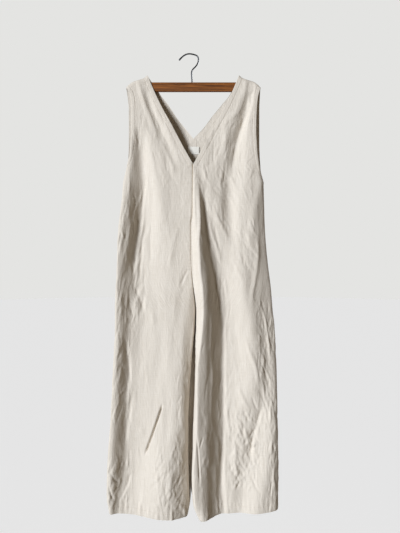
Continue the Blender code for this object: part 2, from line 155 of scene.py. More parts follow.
def ripple(along: Array, pitch: float, seed: int) -> Array:
    """An uneven wave from -1 to 1 along a seam, with swells about one pitch apart.

    Args:
        along: Distances along the seam.
        pitch: The mean distance from swell to swell.
        seed: Which uneven wave it is.

    Returns:
        The wave's height at each distance.
    """
    chance = np.random.default_rng(seed)
    swings = np.where(np.arange(SWELLS) % 2, 1.0, -1.0) * chance.uniform(0.25, 1.0, SWELLS)
    at = np.clip(along / (pitch / 2), 0.0, SWELLS - 2.0)
    i = at.astype(int)
    return swings[i] + ease(at - i) * (swings[i + 1] - swings[i])


def to_line(points: Array, line: Array) -> tuple[Array, Array]:
    """Find how far points lie from a polyline, and where along it.

    Args:
        points: Points of any dimension, one a row.
        line: The polyline's points.

    Returns:
        The distance of each point, and the distance along the line of its nearest place.
    """
    start, step = line[:-1], np.diff(line, axis=0)
    length = np.maximum(np.linalg.norm(step, axis=1), TINY)
    begun = np.concatenate([[0.0], np.cumsum(length)[:-1]])
    away = np.full(len(points), np.inf)
    along = np.zeros(len(points))
    for first in range(0, len(points), CHUNK):
        part = slice(first, first + CHUNK)
        offset = points[part, None] - start
        t = np.clip((offset * step).sum(2) / length**2, 0.0, 1.0)
        gap = np.linalg.norm(offset - t[..., None] * step, axis=2)
        best = gap.argmin(1)
        row = np.arange(len(best))
        away[part] = gap[row, best]
        along[part] = begun[best] + t[row, best] * length[best]
    return away, along


def linear(colour: str) -> tuple[float, float, float, float]:
    """Turn an sRGB hex colour such as #e8e1d9 into linear light.

    Args:
        colour: The hex colour.

    Returns:
        Linear red, green, blue and alpha.
    """
    parts = [int(colour[i : i + 2], 16) / 255 for i in (1, 3, 5)]
    turned = [c / 12.92 if c <= 0.04045 else ((c + 0.055) / 1.055) ** 2.4 for c in parts]
    return (*turned, 1.0)


# ---------------------------------------------------------------- finishes


def add_node(
    tree: bpy.types.NodeTree,
    kind: str,
    settings: dict[str | int, Any] | None = None,
    links: dict[str | int, bpy.types.NodeSocket] | None = None,
) -> bpy.types.Node:
    """Add a node to a tree, with its settings and links.

    Args:
        tree: The material's or world's node tree.
        kind: Blender's name for the node type.
        settings: Values by the name or number of an input, or by the name of a property.
        links: The outputs to join to inputs, by the input's name or number.

    Returns:
        The new node.
    """
    made = tree.nodes.new(kind)
    for key, value in (settings or {}).items():
        if isinstance(key, str) and key not in made.inputs:
            setattr(made, key, value)
    for key, value in (settings or {}).items():
        if isinstance(key, int) or key in made.inputs:
            made.inputs[key].default_value = value
    for key, output in (links or {}).items():
        tree.links.new(output, made.inputs[key])
    return made


def blank(name: str) -> tuple[bpy.types.Material, bpy.types.NodeTree, bpy.types.Node]:
    """Make a material that holds only its shader and output.

    Args:
        name: The material's name.

    Returns:
        The material, its node tree and its shader.
    """
    made = bpy.data.materials.new(name)
    made.use_nodes = True
    return made, made.node_tree, made.node_tree.nodes["Principled BSDF"]


def set_shader(
    tree: bpy.types.NodeTree,
    shader: bpy.types.Node,
    values: dict[str, Any],
    links: dict[str, bpy.types.NodeSocket],
) -> None:
    """Set the even values on a shader's own sockets and link what varies over the piece.

    Args:
        tree: The material's node tree.
        shader: Its shader.
        values: Values by socket name.
        links: Outputs by the name of the socket that they join.
    """
    for key, value in values.items():
        shader.inputs[key].default_value = value
    for key, output in links.items():
        tree.links.new(output, shader.inputs[key])


@dataclass(frozen=True)
class Linen:
    """Washed plain-woven linen: slubbed yarns, faint blotches from the wash, dry and matte."""

    cloth: str = "#d1c8bb"
    pale: str = "#ddd6cb"
    dull: str = "#bdb2a2"
    yarn_mm: float = 0.9  # real yarns lie 0.55 mm apart, drawn coarser to show at arm's length
    slub_mm: tuple[float, float] = (1.3, 48.0)  # a slub's width and length
    level_shorter: float = 1.3  # how many times shorter the level yarns' slubs are
    blotch_mm: float = 90.0
    crinkle_mm: tuple[float, float] = (5.0, 17.0)  # the dry wrinkles finer than any fold
    proud: tuple[float, float] = (0.26, 0.2)  # how far upright and level yarns stand out
    waver: float = 7.0  # how far, in radians of the weave, a slub pushes its yarn aside

    def dress(self, name: str) -> bpy.types.Material:
        """Make the cloth's material, woven in the flat cloth's own UV metres.

        Args:
            name: The material's name.

        Returns:
            The material.
        """
        made, tree, shader = blank(name)
        flat = add_node(tree, "ShaderNodeUVMap", {"uv_map": "cloth"}).outputs[0]
        wide, long = (PER_METRE / mm for mm in self.slub_mm)
        # slubs, the thick stretches of a yarn, give the cloth its fine streaks both ways
        slubs = []
        for scale in ((wide, long, 1.0), (long * self.level_shorter, wide, 1.0)):
            turned = add_node(tree, "ShaderNodeMapping", {"Scale": scale}, {0: flat})
            slub = add_node(
                tree, "ShaderNodeTexNoise",
                {"noise_dimensions": "2D", "Scale": 1.0, "Detail": 2.0, "Roughness": 0.55},
                {"Vector": turned.outputs[0]},
            )
            slubs.append(slub.outputs["Fac"])
        # faint blotches from the wash keep a wide plain face from looking flat
        blotch = add_node(
            tree, "ShaderNodeTexNoise",
            {"noise_dimensions": "2D", "Scale": PER_METRE / self.blotch_mm, "Detail": 3.0},
            {"Vector": flat},
        ).outputs["Fac"]
        both = add_node(
            tree, "ShaderNodeMath", {"operation": "MULTIPLY_ADD", 1: 0.5}, {0: slubs[1], 2: slubs[0]}
        )
        yarn_tone = add_node(
            tree, "ShaderNodeMapRange",
            {"From Min": 0.4, "From Max": 1.1, "To Min": 0.0, "To Max": 1.0},
            {"Value": both.outputs[0]},
        ).outputs[0]
        yarns = add_node(
            tree, "ShaderNodeMix",
            {"data_type": "RGBA", 6: linear(self.dull), 7: linear(self.pale)}, {0: yarn_tone},
        ).outputs[2]
        washed = add_node(
            tree, "ShaderNodeMapRange",
            {"From Min": 0.3, "From Max": 0.7, "To Min": 0.35, "To Max": 0.75}, {"Value": blotch},
        ).outputs[0]
        colour = add_node(
            tree, "ShaderNodeMix",
            {"data_type": "RGBA", 6: linear(self.cloth)}, {0: washed, 7: yarns},
        ).outputs[2]
        # the yarns' own relief breaks the light up to a grainy weave
        weave = self.weave(tree, flat, slubs)
        height = add_node(
            tree, "ShaderNodeMath",
            {"operation": "MULTIPLY_ADD", 1: 0.35}, {0: both.outputs[0], 2: weave},
        ).outputs[0]
        # dry wrinkles, longer than wide, soften the shine between the larger creases
        fine = add_node(
            tree, "ShaderNodeMapping",
            {"Scale": tuple(PER_METRE / mm for mm in (*self.crinkle_mm, PER_METRE))}, {0: flat},
        )
        crinkle = add_node(
            tree, "ShaderNodeTexNoise",
            {"noise_dimensions": "2D", "Scale": 1.0, "Detail": 3.0, "Roughness": 0.6},
            {"Vector": fine.outputs[0]},
        ).outputs["Fac"]
        wrinkled = add_node(
            tree, "ShaderNodeBump", {"Strength": 0.6, "Distance": 0.0014}, {"Height": crinkle}
        ).outputs[0]
        bump = add_node(
            tree, "ShaderNodeBump",
            {"Strength": 0.55, "Distance": 0.00035}, {"Height": height, "Normal": wrinkled},
        ).outputs[0]
        # a matte face with a little fuzz, which lightens where the cloth turns away
        values = {
            "Roughness": 0.88,
            "Specular IOR Level": 0.25,
            "Sheen Weight": 0.18,
            "Sheen Roughness": 0.45,
            "Sheen Tint": linear(self.pale),
        }
        set_shader(tree, shader, values, {"Base Color": colour, "Normal": bump})
        return made

    def weave(
        self, tree: bpy.types.NodeTree, flat: bpy.types.NodeSocket, slubs: list[bpy.types.NodeSocket]
    ) -> bpy.types.NodeSocket:
        """Draw the rounded, wavering yarns of a plain weave, the upright ones prouder.

        Args:
            tree: The material's node tree.
            flat: The place on the flat cloth.
            slubs: The upright and the level slubs, which also make the yarns waver.

        Returns:
            The weave's height.
        """
        scaled = add_node(
            tree, "ShaderNodeVectorMath",
            {"operation": "SCALE", "Scale": 2 * math.pi * PER_METRE / self.yarn_mm}, {0: flat},
        ).outputs[0]
        apart = add_node(tree, "ShaderNodeSeparateXYZ", {}, {0: scaled})
        height = None
        for k, (slub, proud) in enumerate(zip(slubs, self.proud)):
            wavering = add_node(
                tree, "ShaderNodeMath",
                {"operation": "MULTIPLY_ADD", 1: self.waver}, {0: slub, 2: apart.outputs[k]},
            ).outputs[0]
            wave = add_node(tree, "ShaderNodeMath", {"operation": "SINE"}, {0: wavering}).outputs[0]
            raised = {"operation": "MULTIPLY_ADD", 1: proud, 2: 0.5}
            links = {0: wave} if height is None else {0: wave, 2: height}
            height = add_node(tree, "ShaderNodeMath", raised, links).outputs[0]
        return height


@dataclass(frozen=True)
class Thread:
    """Sewing thread in the cloth's own tone, with its twist."""

    colour: str = "#d9cfc1"
    dark: str = "#bdb1a1"

    def dress(self, name: str) -> bpy.types.Material:
        """Make the thread's material.

        Args:
            name: The material's name.

        Returns:
            The material.
        """
        made, tree, shader = blank(name)
        place = add_node(tree, "ShaderNodeTexCoord").outputs["Object"]
        # the twist's light and dark make each stitch read as spun thread
        twist = add_node(
            tree, "ShaderNodeTexNoise", {"Scale": 1800.0, "Detail": 1.0}, {"Vector": place}
        ).outputs["Fac"]
        colour = add_node(
            tree, "ShaderNodeMix",
            {"data_type": "RGBA", 6: linear(self.dark), 7: linear(self.colour)}, {0: twist},
        ).outputs[2]
        # spun fibres: matte, with a little fuzz
        values = {"Roughness": 0.6, "Sheen Weight": 0.2}
        set_shader(tree, shader, values, {"Base Color": colour})
        return made


@dataclass(frozen=True)
class LabelTape:
    """Plain white woven tape with a satin face."""

    white: str = "#ebe8e0"
    # the colour of the ribs' hollows: painted shade
    shade: str = "#d9d5cb"
    rib_mm: float = 0.8

    def dress(self, name: str) -> bpy.types.Material:
        """Make the tape's material.

        Args:
            name: The material's name.

        Returns:
            The material.
        """
        made, tree, shader = blank(name)
        flat = add_node(tree, "ShaderNodeUVMap", {"uv_map": "cloth"}).outputs[0]
        spread = add_node(
            tree, "ShaderNodeVectorMath", {"operation": "SCALE", "Scale": math.pi}, {0: flat}
        ).outputs[0]
        # fine level ribs give the tape its satin bands; the darker colour that fills the ribs' hollows is
        # painted shade
        rib = add_node(
            tree, "ShaderNodeTexWave",
            {"bands_direction": "Y", "Scale": PER_METRE / self.rib_mm / 20.0, "Distortion": 0.6},
            {"Vector": spread},
        ).outputs["Fac"]
        colour = add_node(
            tree, "ShaderNodeMix",
            {"data_type": "RGBA", 6: linear(self.shade), 7: linear(self.white)}, {0: rib},
        ).outputs[2]
        bump = add_node(
            tree, "ShaderNodeBump", {"Strength": 0.5, "Distance": 0.0002}, {"Height": rib}
        ).outputs[0]
        values = {"Roughness": 0.5, "Sheen Weight": 0.25}
        set_shader(tree, shader, values, {"Base Color": colour, "Normal": bump})
        return made


@dataclass(frozen=True)
class StainedWood:
    """A softwood bar under a brown stain and a thin satin varnish."""

    stain: str = "#8f5727"
    dark: str = "#44240f"
    grain_mm: tuple[float, float] = (150.0, 4.5)  # length and width of a grain figure

    def dress(self, name: str) -> bpy.types.Material:
        """Make the wood's material, with its grain along the bar.

        Args:
            name: The material's name.

        Returns:
            The material.
        """
        made, tree, shader = blank(name)
        place = add_node(tree, "ShaderNodeTexCoord").outputs["Object"]
        long, wide = (PER_METRE / mm for mm in self.grain_mm)
        # long figures and short dark pores along the bar read as softwood grain under stain
        drawn = add_node(
            tree, "ShaderNodeMapping", {"Scale": (long, wide, wide)}, {0: place}
        ).outputs[0]
        figure = add_node(
            tree, "ShaderNodeTexNoise",
            {"Scale": 1.0, "Detail": 6.0, "Roughness": 0.62, "Distortion": 1.1},
            {"Vector": drawn},
        ).outputs["Fac"]
        pores = add_node(
            tree, "ShaderNodeTexNoise", {"Scale": 9.0, "Detail": 2.0}, {"Vector": drawn}
        ).outputs["Fac"]
        tone = add_node(
            tree, "ShaderNodeMath", {"operation": "MULTIPLY_ADD", 1: 0.35}, {0: pores, 2: figure}
        ).outputs[0]
        ramp = add_node(
            tree, "ShaderNodeMapRange", {"From Min": 0.5, "From Max": 0.82}, {"Value": tone}
        ).outputs[0]
        colour = add_node(
            tree, "ShaderNodeMix",
            {"data_type": "RGBA", 6: linear(self.dark), 7: linear(self.stain)}, {0: ramp},
        ).outputs[2]
        # a thin satin varnish: soft highlights, a little sharper on the hard late wood
        gloss = add_node(
            tree, "ShaderNodeMapRange", {"To Min": 0.62, "To Max": 0.45}, {"Value": figure}
        ).outputs[0]
        bump = add_node(
            tree, "ShaderNodeBump", {"Strength": 0.35, "Distance": 0.0004}, {"Height": tone}
        ).outputs[0]
        values = {"Specular IOR Level": 0.2, "Coat Weight": 0.06, "Coat Roughness": 0.35}
        links = {"Base Color": colour, "Roughness": gloss, "Normal": bump}
        set_shader(tree, shader, values, links)
        return made


@dataclass(frozen=True)
class PlatedWire:
    """Darkened plated steel wire with duller spots."""

    plating: str = "#55575a"
    dull: str = "#333538"

    def dress(self, name: str) -> bpy.types.Material:
        """Make the wire's material.

        Args:
            name: The material's name.

        Returns:
            The material.
        """
        made, tree, shader = blank(name)
        place = add_node(tree, "ShaderNodeTexCoord").outputs["Object"]
        # dull spots break up the highlight along the wire
        spots = add_node(
            tree, "ShaderNodeTexNoise", {"Scale": 240.0, "Detail": 3.0}, {"Vector": place}
        ).outputs["Fac"]
        colour = add_node(
            tree, "ShaderNodeMix",
            {"data_type": "RGBA", 6: linear(self.dull), 7: linear(self.plating)}, {0: spots},
        ).outputs[2]
        rough = add_node(
            tree, "ShaderNodeMapRange", {"To Min": 0.46, "To Max": 0.3}, {"Value": spots}
        ).outputs[0]
        set_shader(tree, shader, {"Metallic": 1.0}, {"Base Color": colour, "Roughness": rough})
        return made


# ---------------------------------------------------------------- meshes


def make_piece(
    name: str, points: Array, faces: list[Array], finish: bpy.types.Material, sharp: float = 75.0
) -> bpy.types.Object:
    """Make a smooth mesh object from points in millimetres.

    Args:
        name: The piece's name.
        points: One point a row.
        faces: Arrays of corner numbers, one face a row, each array with its own corner count.
        finish: Its material.
        sharp: The angle in degrees past which an edge stays sharp.

    Returns:
        The object, linked to the scene.
    """
    mesh = bpy.data.meshes.new(name)
    mesh.from_pydata((points * MM).tolist(), [], [f for part in faces for f in part.tolist()])
    mesh.shade_smooth()
    mesh.set_sharp_from_angle(angle=math.radians(sharp))
    mesh.materials.append(finish)
    made = bpy.data.objects.new(name, mesh)
    bpy.context.scene.collection.objects.link(made)
    return made


def report(piece: bpy.types.Object) -> None:
    """Report one finished piece."""
    LOG.info("%s: %d faces", piece.name, len(piece.data.polygons))


def grid_faces(rows: int, columns: int, flip: bool = False) -> Array:
    """List the quads of a grid of points numbered row by row.

    Args:
        rows: How many rows of points.
        columns: How many points in a row.
        flip: Whether the quads face the other way.

    Returns:
        The corner numbers, one quad a row.
    """
    index = np.arange(rows * columns).reshape(rows, columns)
    corners = [index[:-1, :-1], index[:-1, 1:], index[1:, 1:], index[1:, :-1]]
    if flip:
        corners.reverse()
    return np.stack([c.ravel() for c in corners], axis=1)


def tube_faces(rings: int, sides: int) -> list[Array]:
    """List the faces of a tube whose rings of points follow one another.

    Args:
        rings: How many rings.
        sides: How many points in a ring.

    Returns:
        The walls' corner numbers, and those of the two ends.
    """
    index = np.arange(rings * sides).reshape(rings, sides)
    following = np.roll(index, -1, axis=1)
    quads = [index[:-1], following[:-1], following[1:], index[1:]]
    walls = np.stack([corner.ravel() for corner in quads], axis=1)
    return [walls, np.stack([index[0, ::-1], index[-1]])]


def shell(
    name: str, outer: Array, inner: Array, flat: Array, finish: bpy.types.Material, flip: bool
) -> bpy.types.Object:
    """Close two matching grids of points into a thin cloth wall.

    Args:
        name: The piece's name.
        outer: The outer grid, rows by columns by 3, in millimetres.
        inner: The inner grid, one wall behind the outer.
        flat: Each point's place in the flat cloth, in millimetres.
        finish: Its material.
        flip: Whether the outer faces run the other way round.

    Returns:
        The object, with a UV map in metres of flat cloth.
    """
    rows, columns = outer.shape[:2]
    count = rows * columns
    index = np.arange(count).reshape(rows, columns)
    front = grid_faces(rows, columns, flip)
    behind = grid_faces(rows, columns, not flip) + count
    rim = np.concatenate([index[0], index[1:, -1], index[-1, -2::-1], index[-2:0:-1, 0]])
    following = np.roll(rim, -1)
    walls = np.stack([rim, rim + count, following + count, following], axis=1)
    if flip:
        walls = walls[:, ::-1]
    points = np.concatenate([outer.reshape(-1, 3), inner.reshape(-1, 3)])
    made = make_piece(name, points, [front, behind, walls], finish)
    mesh = made.data
    corners = np.empty(len(mesh.loops), np.int32)
    mesh.loops.foreach_get("vertex_index", corners)
    places = np.concatenate([flat.reshape(-1, 2)] * 2) * MM
    mesh.uv_layers.new(name="cloth").data.foreach_set("uv", places[corners].ravel())
    return made


# ---------------------------------------------------------------- the garment's form


@dataclass(frozen=True)
class Fold:
    """One of the large folds: its line, height and width to each side down the cloth."""

    stations: Knots  # height up the garment, x, outward height, width left, width right

    def height(self, x: Array, z: Array) -> Array:
        """Find how far the fold moves the cloth outwards.

        Args:
            x: Signed x of some places.
            z: Their heights.

        Returns:
            The outward movement at each place.
        """
        levels = [row[0] for row in self.stations]
        at = [run(self.stations, column).at(z) for column in (1, 2, 3, 4)]
        within = (z >= min(levels)) & (z <= max(levels))
        return within * at[1] * lobe(x - at[0], at[2], at[3])


@dataclass(frozen=True)
class Form:
    """The hanging garment's form.

    It follows the solids' form, but its legs touch along their inseams, the front of the right
    leg stands squarer beside the slit, and the left half of the back's V lies further in.
    """

    level_z: float = -480.0  # the first row that runs level, below the armholes
    front_v_z: float = -366.0
    back_v_z: float = -273.0
    underarm_z: float = -426.0
    rise_top_z: float = -690.0
    crotch_z: float = -835.0
    hem_z: tuple[float, float] = (-1502.0, -1485.0)  # at the inseam and at the side seam
    side_reach: float = 4.0  # the higher, the nearer the side seam its pull stays
    rise_power: float = 2.2
    half_gap: float = 0.03  # half of what parts two panels at a seam
    leg_width: float = 250.0
    squared_by: float = 0.75  # how much of its inner flank the centre ridge loses at the slit
    squared_over: float = 120.0  # the height below the crotch over which that begins

    shoulder: Knots = (
        (151, -68), (160, -75.5), (175, -82), (196, -88), (210, -97), (222, -109),
    )
    shoulder_turn: Knots = ((0, 0), (0.6, 0.47), (3, 0.84), (8, 1))
    necklines: dict[Face, Knots] = field(default_factory=lambda: {  # height, then left and right
        Face.FRONT: (
            (-366, 0.03, 0.03), (-305, 34, 34), (-243, 66, 66), (-177, 102, 102), (-116, 131, 131),
            (-68, 151, 151),
        ),
        Face.BACK: (
            (-273, 0.03, 0.03), (-238, 27, 34), (-201, 56, 62), (-163, 82, 93), (-130, 108, 120),
            (-68, 151, 151),
        ),
    })
    armholes: dict[tuple[Face, Side], Knots] = field(default_factory=lambda: {
        (Face.FRONT, Side.LEFT): (
            (-426, 228), (-380, 218), (-320, 206), (-250, 201), (-165, 201), (-135, 206), (-109, 222),
        ),
        (Face.FRONT, Side.RIGHT): (
            (-426, 231), (-383, 218), (-320, 209), (-247, 206), (-188, 208), (-140, 213), (-109, 222),
        ),
        (Face.BACK, Side.LEFT): (
            (-426, 228), (-383, 220), (-300, 215), (-180, 215), (-109, 222),
        ),
        (Face.BACK, Side.RIGHT): (
            (-426, 231), (-383, 223), (-300, 219), (-180, 219), (-109, 222),
        ),
    })
    side_seams: dict[Side, Knots] = field(default_factory=lambda: {
        Side.LEFT: (
            (-1502, 265, -16), (-1470, 270, -16), (-1436, 276, -18), (-1370, 275, -20), (-1172, 264, -22),
            (-973, 254, -22), (-776, 248, -24), (-578, 240, -22), (-478, 230, -14), (-426, 228, -7),
            (-340, 224, 0), (-60, 222, 0),
        ),
        Side.RIGHT: (
            (-1502, 277, -4), (-1370, 279, -4), (-1172, 276, -4), (-973, 270, -4), (-874, 264, -4),
            (-776, 256, -4), (-677, 244, -4), (-578, 236, -3), (-478, 233, -2), (-426, 231, -1),
            (-340, 226, 0), (-60, 222, 0),
        ),
    })
    inseams: Knots = (  # height, then the left and the right leg's signed x
        (-1502, -17, 19), (-1486, -12.5, 11.5), (-1468, -10, 3), (-1450, -8.6, -4.5), (-1425, -8.2, -7.9),
        (-1380, -8.25, -8.15), (-1321, -9.05, -8.95), (-1256, -9.05, -8.95), (-1192, -8.05, -7.95),
        (-1096, -3.45, -3.35), (-1000, 0.75, 0.85), (-935, 4.15, 4.25), (-900, 6.85, 6.95),
        (-835, 8.97, 9.03),
    )
    centre_lines: dict[Face, Knots] = field(default_factory=lambda: {
        Face.FRONT: (  # height, then the seam's signed x as the cloth swings
            (-835, 9), (-800, 5), (-760, 0), (-709, -4), (-640, -6), (-560, -6), (-530, -1.5), (-366, 0),
        ),
        Face.BACK: ((-835, 9), (-770, 3.5), (-700, 0), (-273, 0)),
    })
    depths: Knots = (  # height, then how far the front and the back stand out
        (-1502, 56, 26), (-1300, 54, 25), (-1072, 52, 24), (-845, 51, 21), (-677, 47, 18), (-478, 38, 15),
        (-366, 28, 13.5), (-250, 18, 12), (-180, 13, 10.5), (-125, 9.6, 9.6), (-60, 9.6, 9.6),
    )
    slit: Knots = (  # height, then how far from its inseam each leg's front starts to stand out
        (-1502, 0.8), (-1440, 3.6), (-1380, 5.4), (-1256, 6.4), (-1096, 7.6), (-1010, 5.6), (-940, 2.4),
        (-880, 0.8), (-835, 0),
    )
    edge_turn: Knots = (
        (-1502, 1), (-426, 1), (-402, 0.9), (-378, 0.54), (-350, 0.3), (-280, 0.12), (-180, 0.1),
        (-60, 0.12),
    )
    rolls: dict[tuple[Face, Side], tuple[float, float]] = field(default_factory=lambda: {
        (Face.FRONT, Side.LEFT): (6.5, 11.0),
        (Face.FRONT, Side.RIGHT): (14.0, 3.6),
        (Face.BACK, Side.LEFT): (3.6, 5.0),
        (Face.BACK, Side.RIGHT): (3.6, 4.6),
    })
    folds: dict[Face, tuple[Fold, ...]] = field(default_factory=lambda: {
        Face.FRONT: (
            Fold((  # left strap trough
                (-380, -64, 0, 40, 26), (-315, -80, -6, 40, 26), (-250, -108, -6, 34, 26),
                (-183, -138, -6, 22, 20), (-110, -158, 0, 16, 18),
            )),
            Fold((  # left side trough
                (-1502, -240, -12, 26, 110), (-1450, -234, -16, 34, 120), (-1322, -214, -22, 46, 120),
                (-1195, -214, -21, 40, 120), (-1070, -208, -20, 38, 130), (-940, -200, -19, 42, 135),
                (-808, -186, -21, 58, 130), (-676, -182, -26, 54, 120), (-544, -166, -28, 60, 80),
                (-445, -162, -23, 56, 56), (-315, -168, -15, 36, 34), (-240, -172, 0, 34, 30),
            )),
            Fold((  # left leg crest
                (-1502, -88, 20, 110, 78), (-1450, -84, 22, 110, 74), (-1322, -72, 20, 110, 64),
                (-1195, -46, 14, 90, 42), (-1070, -40, 10, 80, 34), (-940, -36, 7, 60, 28),
                (-808, -34, 0, 50, 24),
            )),
            Fold((  # centre ridge
                (-1502, 22, 24, 26, 70), (-1450, 9, 25, 22, 78), (-1354, 3, 26, 20, 80),
                (-1225, 9, 26, 24, 80), (-1070, 13, 26, 28, 78), (-940, 21, 27, 32, 74),
                (-835, 31, 28, 32, 68), (-760, 26, 25, 28, 62), (-676, 18, 21, 22, 54),
                (-570, 10, 13, 16, 38), (-480, 7, 8, 14, 26), (-400, 6, 3, 13, 20), (-340, 6, 0, 13, 18),
            )),
            Fold((  # right valley
                (-1502, 98, -24, 66, 100), (-1322, 102, -29, 72, 110), (-1070, 104, -29, 70, 118),
                (-940, 104, -27, 66, 108), (-808, 96, -23, 58, 84), (-676, 75, -15, 44, 70),
                (-560, 52, -9, 30, 50), (-470, 37, -4, 22, 34), (-400, 29, 0, 20, 22),
            )),
            Fold((  # right strap trough
                (-800, 120, 0, 70, 60), (-676, 120, -9, 74, 60), (-544, 116, -14, 70, 60),
                (-445, 124, -15, 74, 48), (-315, 142, -13, 52, 32), (-183, 171, -9, 32, 16),
                (-120, 180, 0, 24, 12),
            )),
            Fold((  # right margin
                (-1195, 272, 0, 60, 30), (-1070, 268, -12, 80, 30), (-940, 268, -20, 90, 30),
                (-800, 264, -24, 94, 30), (-676, 250, -19, 84, 30), (-500, 240, -10, 60, 30),
                (-420, 232, 0, 40, 30),
            )),
            Fold((  # right shin trough
                (-1502, 156, -10, 40, 50), (-1450, 164, -14, 46, 60), (-1322, 186, -21, 60, 72),
                (-1195, 212, -18, 78, 56), (-1100, 224, -9, 60, 40), (-1020, 232, 0, 50, 30),
            )),
        ),
        Face.BACK: (
            Fold((  # the back stands off behind the V, and lies nearer the front at the label
                (-480, -10, 0, 90, 90), (-390, -10, -5, 90, 90), (-320, -10, -6, 80, 80),
                (-262, -32, 4, 74, 74), (-215, -45, 9, 66, 66), (-135, -70, 0, 50, 50),
            )),
            Fold((  # back left trough
                (-1502, -128, -12, 50, 44), (-1100, -134, -12, 50, 44), (-800, -122, -7, 44, 44),
                (-520, -108, 0, 40, 40),
            )),
            Fold((  # back right trough
                (-1502, 118, -10, 40, 52), (-1180, 126, -13, 42, 54), (-860, 140, -9, 42, 50),
                (-600, 150, -5, 40, 46), (-400, 158, 0, 36, 40),
            )),
            Fold((  # back right ridge
                (-1502, 204, 8, 40, 34), (-1200, 206, 8, 40, 34), (-960, 208, 0, 40, 34),
            )),
        ),
    })

    ridge: int = 3  # which of the front's folds is the centre ridge

    def rise(self, z: Array) -> Array:
        """0 in the body and 1 in the legs, between them the rise's curve to the crotch."""
        down = (self.rise_top_z - z) / (self.rise_top_z - self.crotch_z)
        return np.clip(down, 0.0, 1.0) ** self.rise_power

    @staticmethod
    def roll(share: Array, power: float) -> Array:
        """The profile of a panel that lies flat and rolls to nothing at share 1."""
        return np.maximum(1.0 - np.clip(share, 0.0, 1.0) ** power, 0.0) ** (1.0 / power)

    def depth(self, face: Face, side: Side, share: Array, x: Array, z: Array, drop: Array) -> Array:
        """Find the signed y of the cloth's outer side.

        Args:
            face: Which face the panel is on.
            side: Which side it is on.
            share: How far across the panel each place is.
            x: Signed x of each place.
            z: Height of each place.
            drop: How far below the shoulder seam each place is.

        Returns:
            The y of each place.
        """
        inner, outer = self.rolls[face, side]
        profile = 1.0 - run(self.edge_turn).at(z) * (1.0 - self.roll(share, outer))
        start = run(self.slit).at(z) / self.leg_width if face is Face.FRONT else np.zeros_like(z)
        from_slit = np.clip((share - start) / (1.0 - start), 0.0, 1.0)
        profile = profile * (1.0 - self.rise(z) * (1.0 - self.roll(1.0 - from_slit, inner)))
        height = run(self.depths, 1 if face is Face.FRONT else 2).at(z)
        across = self.squared(x, z) if (face, side) == (Face.FRONT, Side.RIGHT) else x
        height = height + sum(fold.height(across, z) for fold in self.folds[face])
        turn = np.interp(drop, [t[0] for t in self.shoulder_turn], [t[1] for t in self.shoulder_turn])
        pull = run(self.side_seams[side], 2).at(z) * share**self.side_reach
        return pull + face.value * (height * profile * turn + self.half_gap)

    def squared(self, x: Array, z: Array) -> Array:
        """Stretch x beside the slit, so that the centre ridge stays high right up to it.

        Args:
            x: Signed x of some places.
            z: Their heights.

        Returns:
            The stretched x of each place.
        """
        crest = run(self.folds[Face.FRONT][self.ridge].stations).at(z)
        keep = 1.0 - self.squared_by * ease((self.crotch_z - z) / self.squared_over)
        return np.where(x < crest, crest - keep * (crest - x), x)

    def edge_x(self, face: Face, side: Side, z: Array) -> Array:
        """The distance from the axis of the armhole's edge or the side seam."""
        armhole = run(self.armholes[face, side]).at(z)
        return np.where(z > self.underarm_z, armhole, run(self.side_seams[side]).at(z))

    def inner_x(self, face: Face, side: Side, z: Array) -> Array:
        """Find how far to the panel's own side of the axis its inner edge lies.

        Args:
            face: Which face the panel is on.
            side: Which side it is on.
            z: Heights of some places.

        Returns:
            The distance of the neckline, the centre seam or the inseam at each height.
        """
        neck = run(self.necklines[face], 1 if side is Side.LEFT else 2).at(z)
        centre = self.half_gap + side.value * run(self.centre_lines[face]).at(z)
        leg = side.value * run(self.inseams, 1 if side is Side.LEFT else 2).at(z)
        return np.where(z > self.v_z(face), neck, np.where(z < self.crotch_z, leg, centre))

    def v_z(self, face: Face) -> float:
        """The height of a neckline's lowest point."""
        return self.front_v_z if face is Face.FRONT else self.back_v_z


# ---------------------------------------------------------------- creases


@dataclass(frozen=True)
class Crease:
    """One crease, along a given path."""

    bend: Bend
    height: float  # over 0 for a ridge, under 0 for a trough
    left: float  # from its line to where it dies out on the left
    right: float
    path: Knots  # x and z down the cloth, as seen from the front
    fade: float = 0.3  # share of its length over which each end dies out

    def relief(self, x: Array, z: Array) -> Array:
        """Find how far the crease moves the cloth outwards.

        Args:
            x: Signed x of some places, in a flat array.
            z: Their heights.

        Returns:
            The outward movement at each place.
        """
        line = np.array(self.path, float)
        steps = np.linspace(0, len(line) - 1, PATH_STEPS * (len(line) - 1) + 1)
        number = tuple(float(n) for n in range(len(line)))
        smooth = np.stack([Run(number, tuple(line[:, k])).at(steps) for k in (0, 1)], axis=1)
        reach = max(self.left, self.right)
        low, high = smooth.min(0) - reach, smooth.max(0) + reach
        near = (x > low[0]) & (x < high[0]) & (z > low[1]) & (z < high[1])
        result = np.zeros(len(x))
        if not near.any():
            return result
        places = np.stack([x[near], z[near]], axis=1)
        away, along = to_line(places, smooth)
        run_of_line = np.cumsum(np.linalg.norm(np.diff(smooth, axis=0), axis=1))
        reached = np.concatenate([[0.0], run_of_line])
        spine = np.interp(along, reached, smooth[:, 0])
        share = along / reached[-1]
        taper = ease(share / self.fade) * ease((1.0 - share) / self.fade)
        on_left = places[:, 0] < spine
        across = np.clip(away / np.where(on_left, self.left, self.right), 0.0, 1.0)
        sharp = np.where(on_left, *self.bend.value)
        flank = np.where(sharp, (1.0 - across) ** 2, 0.5 + 0.5 * np.cos(math.pi * across))
        result[near] = self.height * taper * flank
        return result


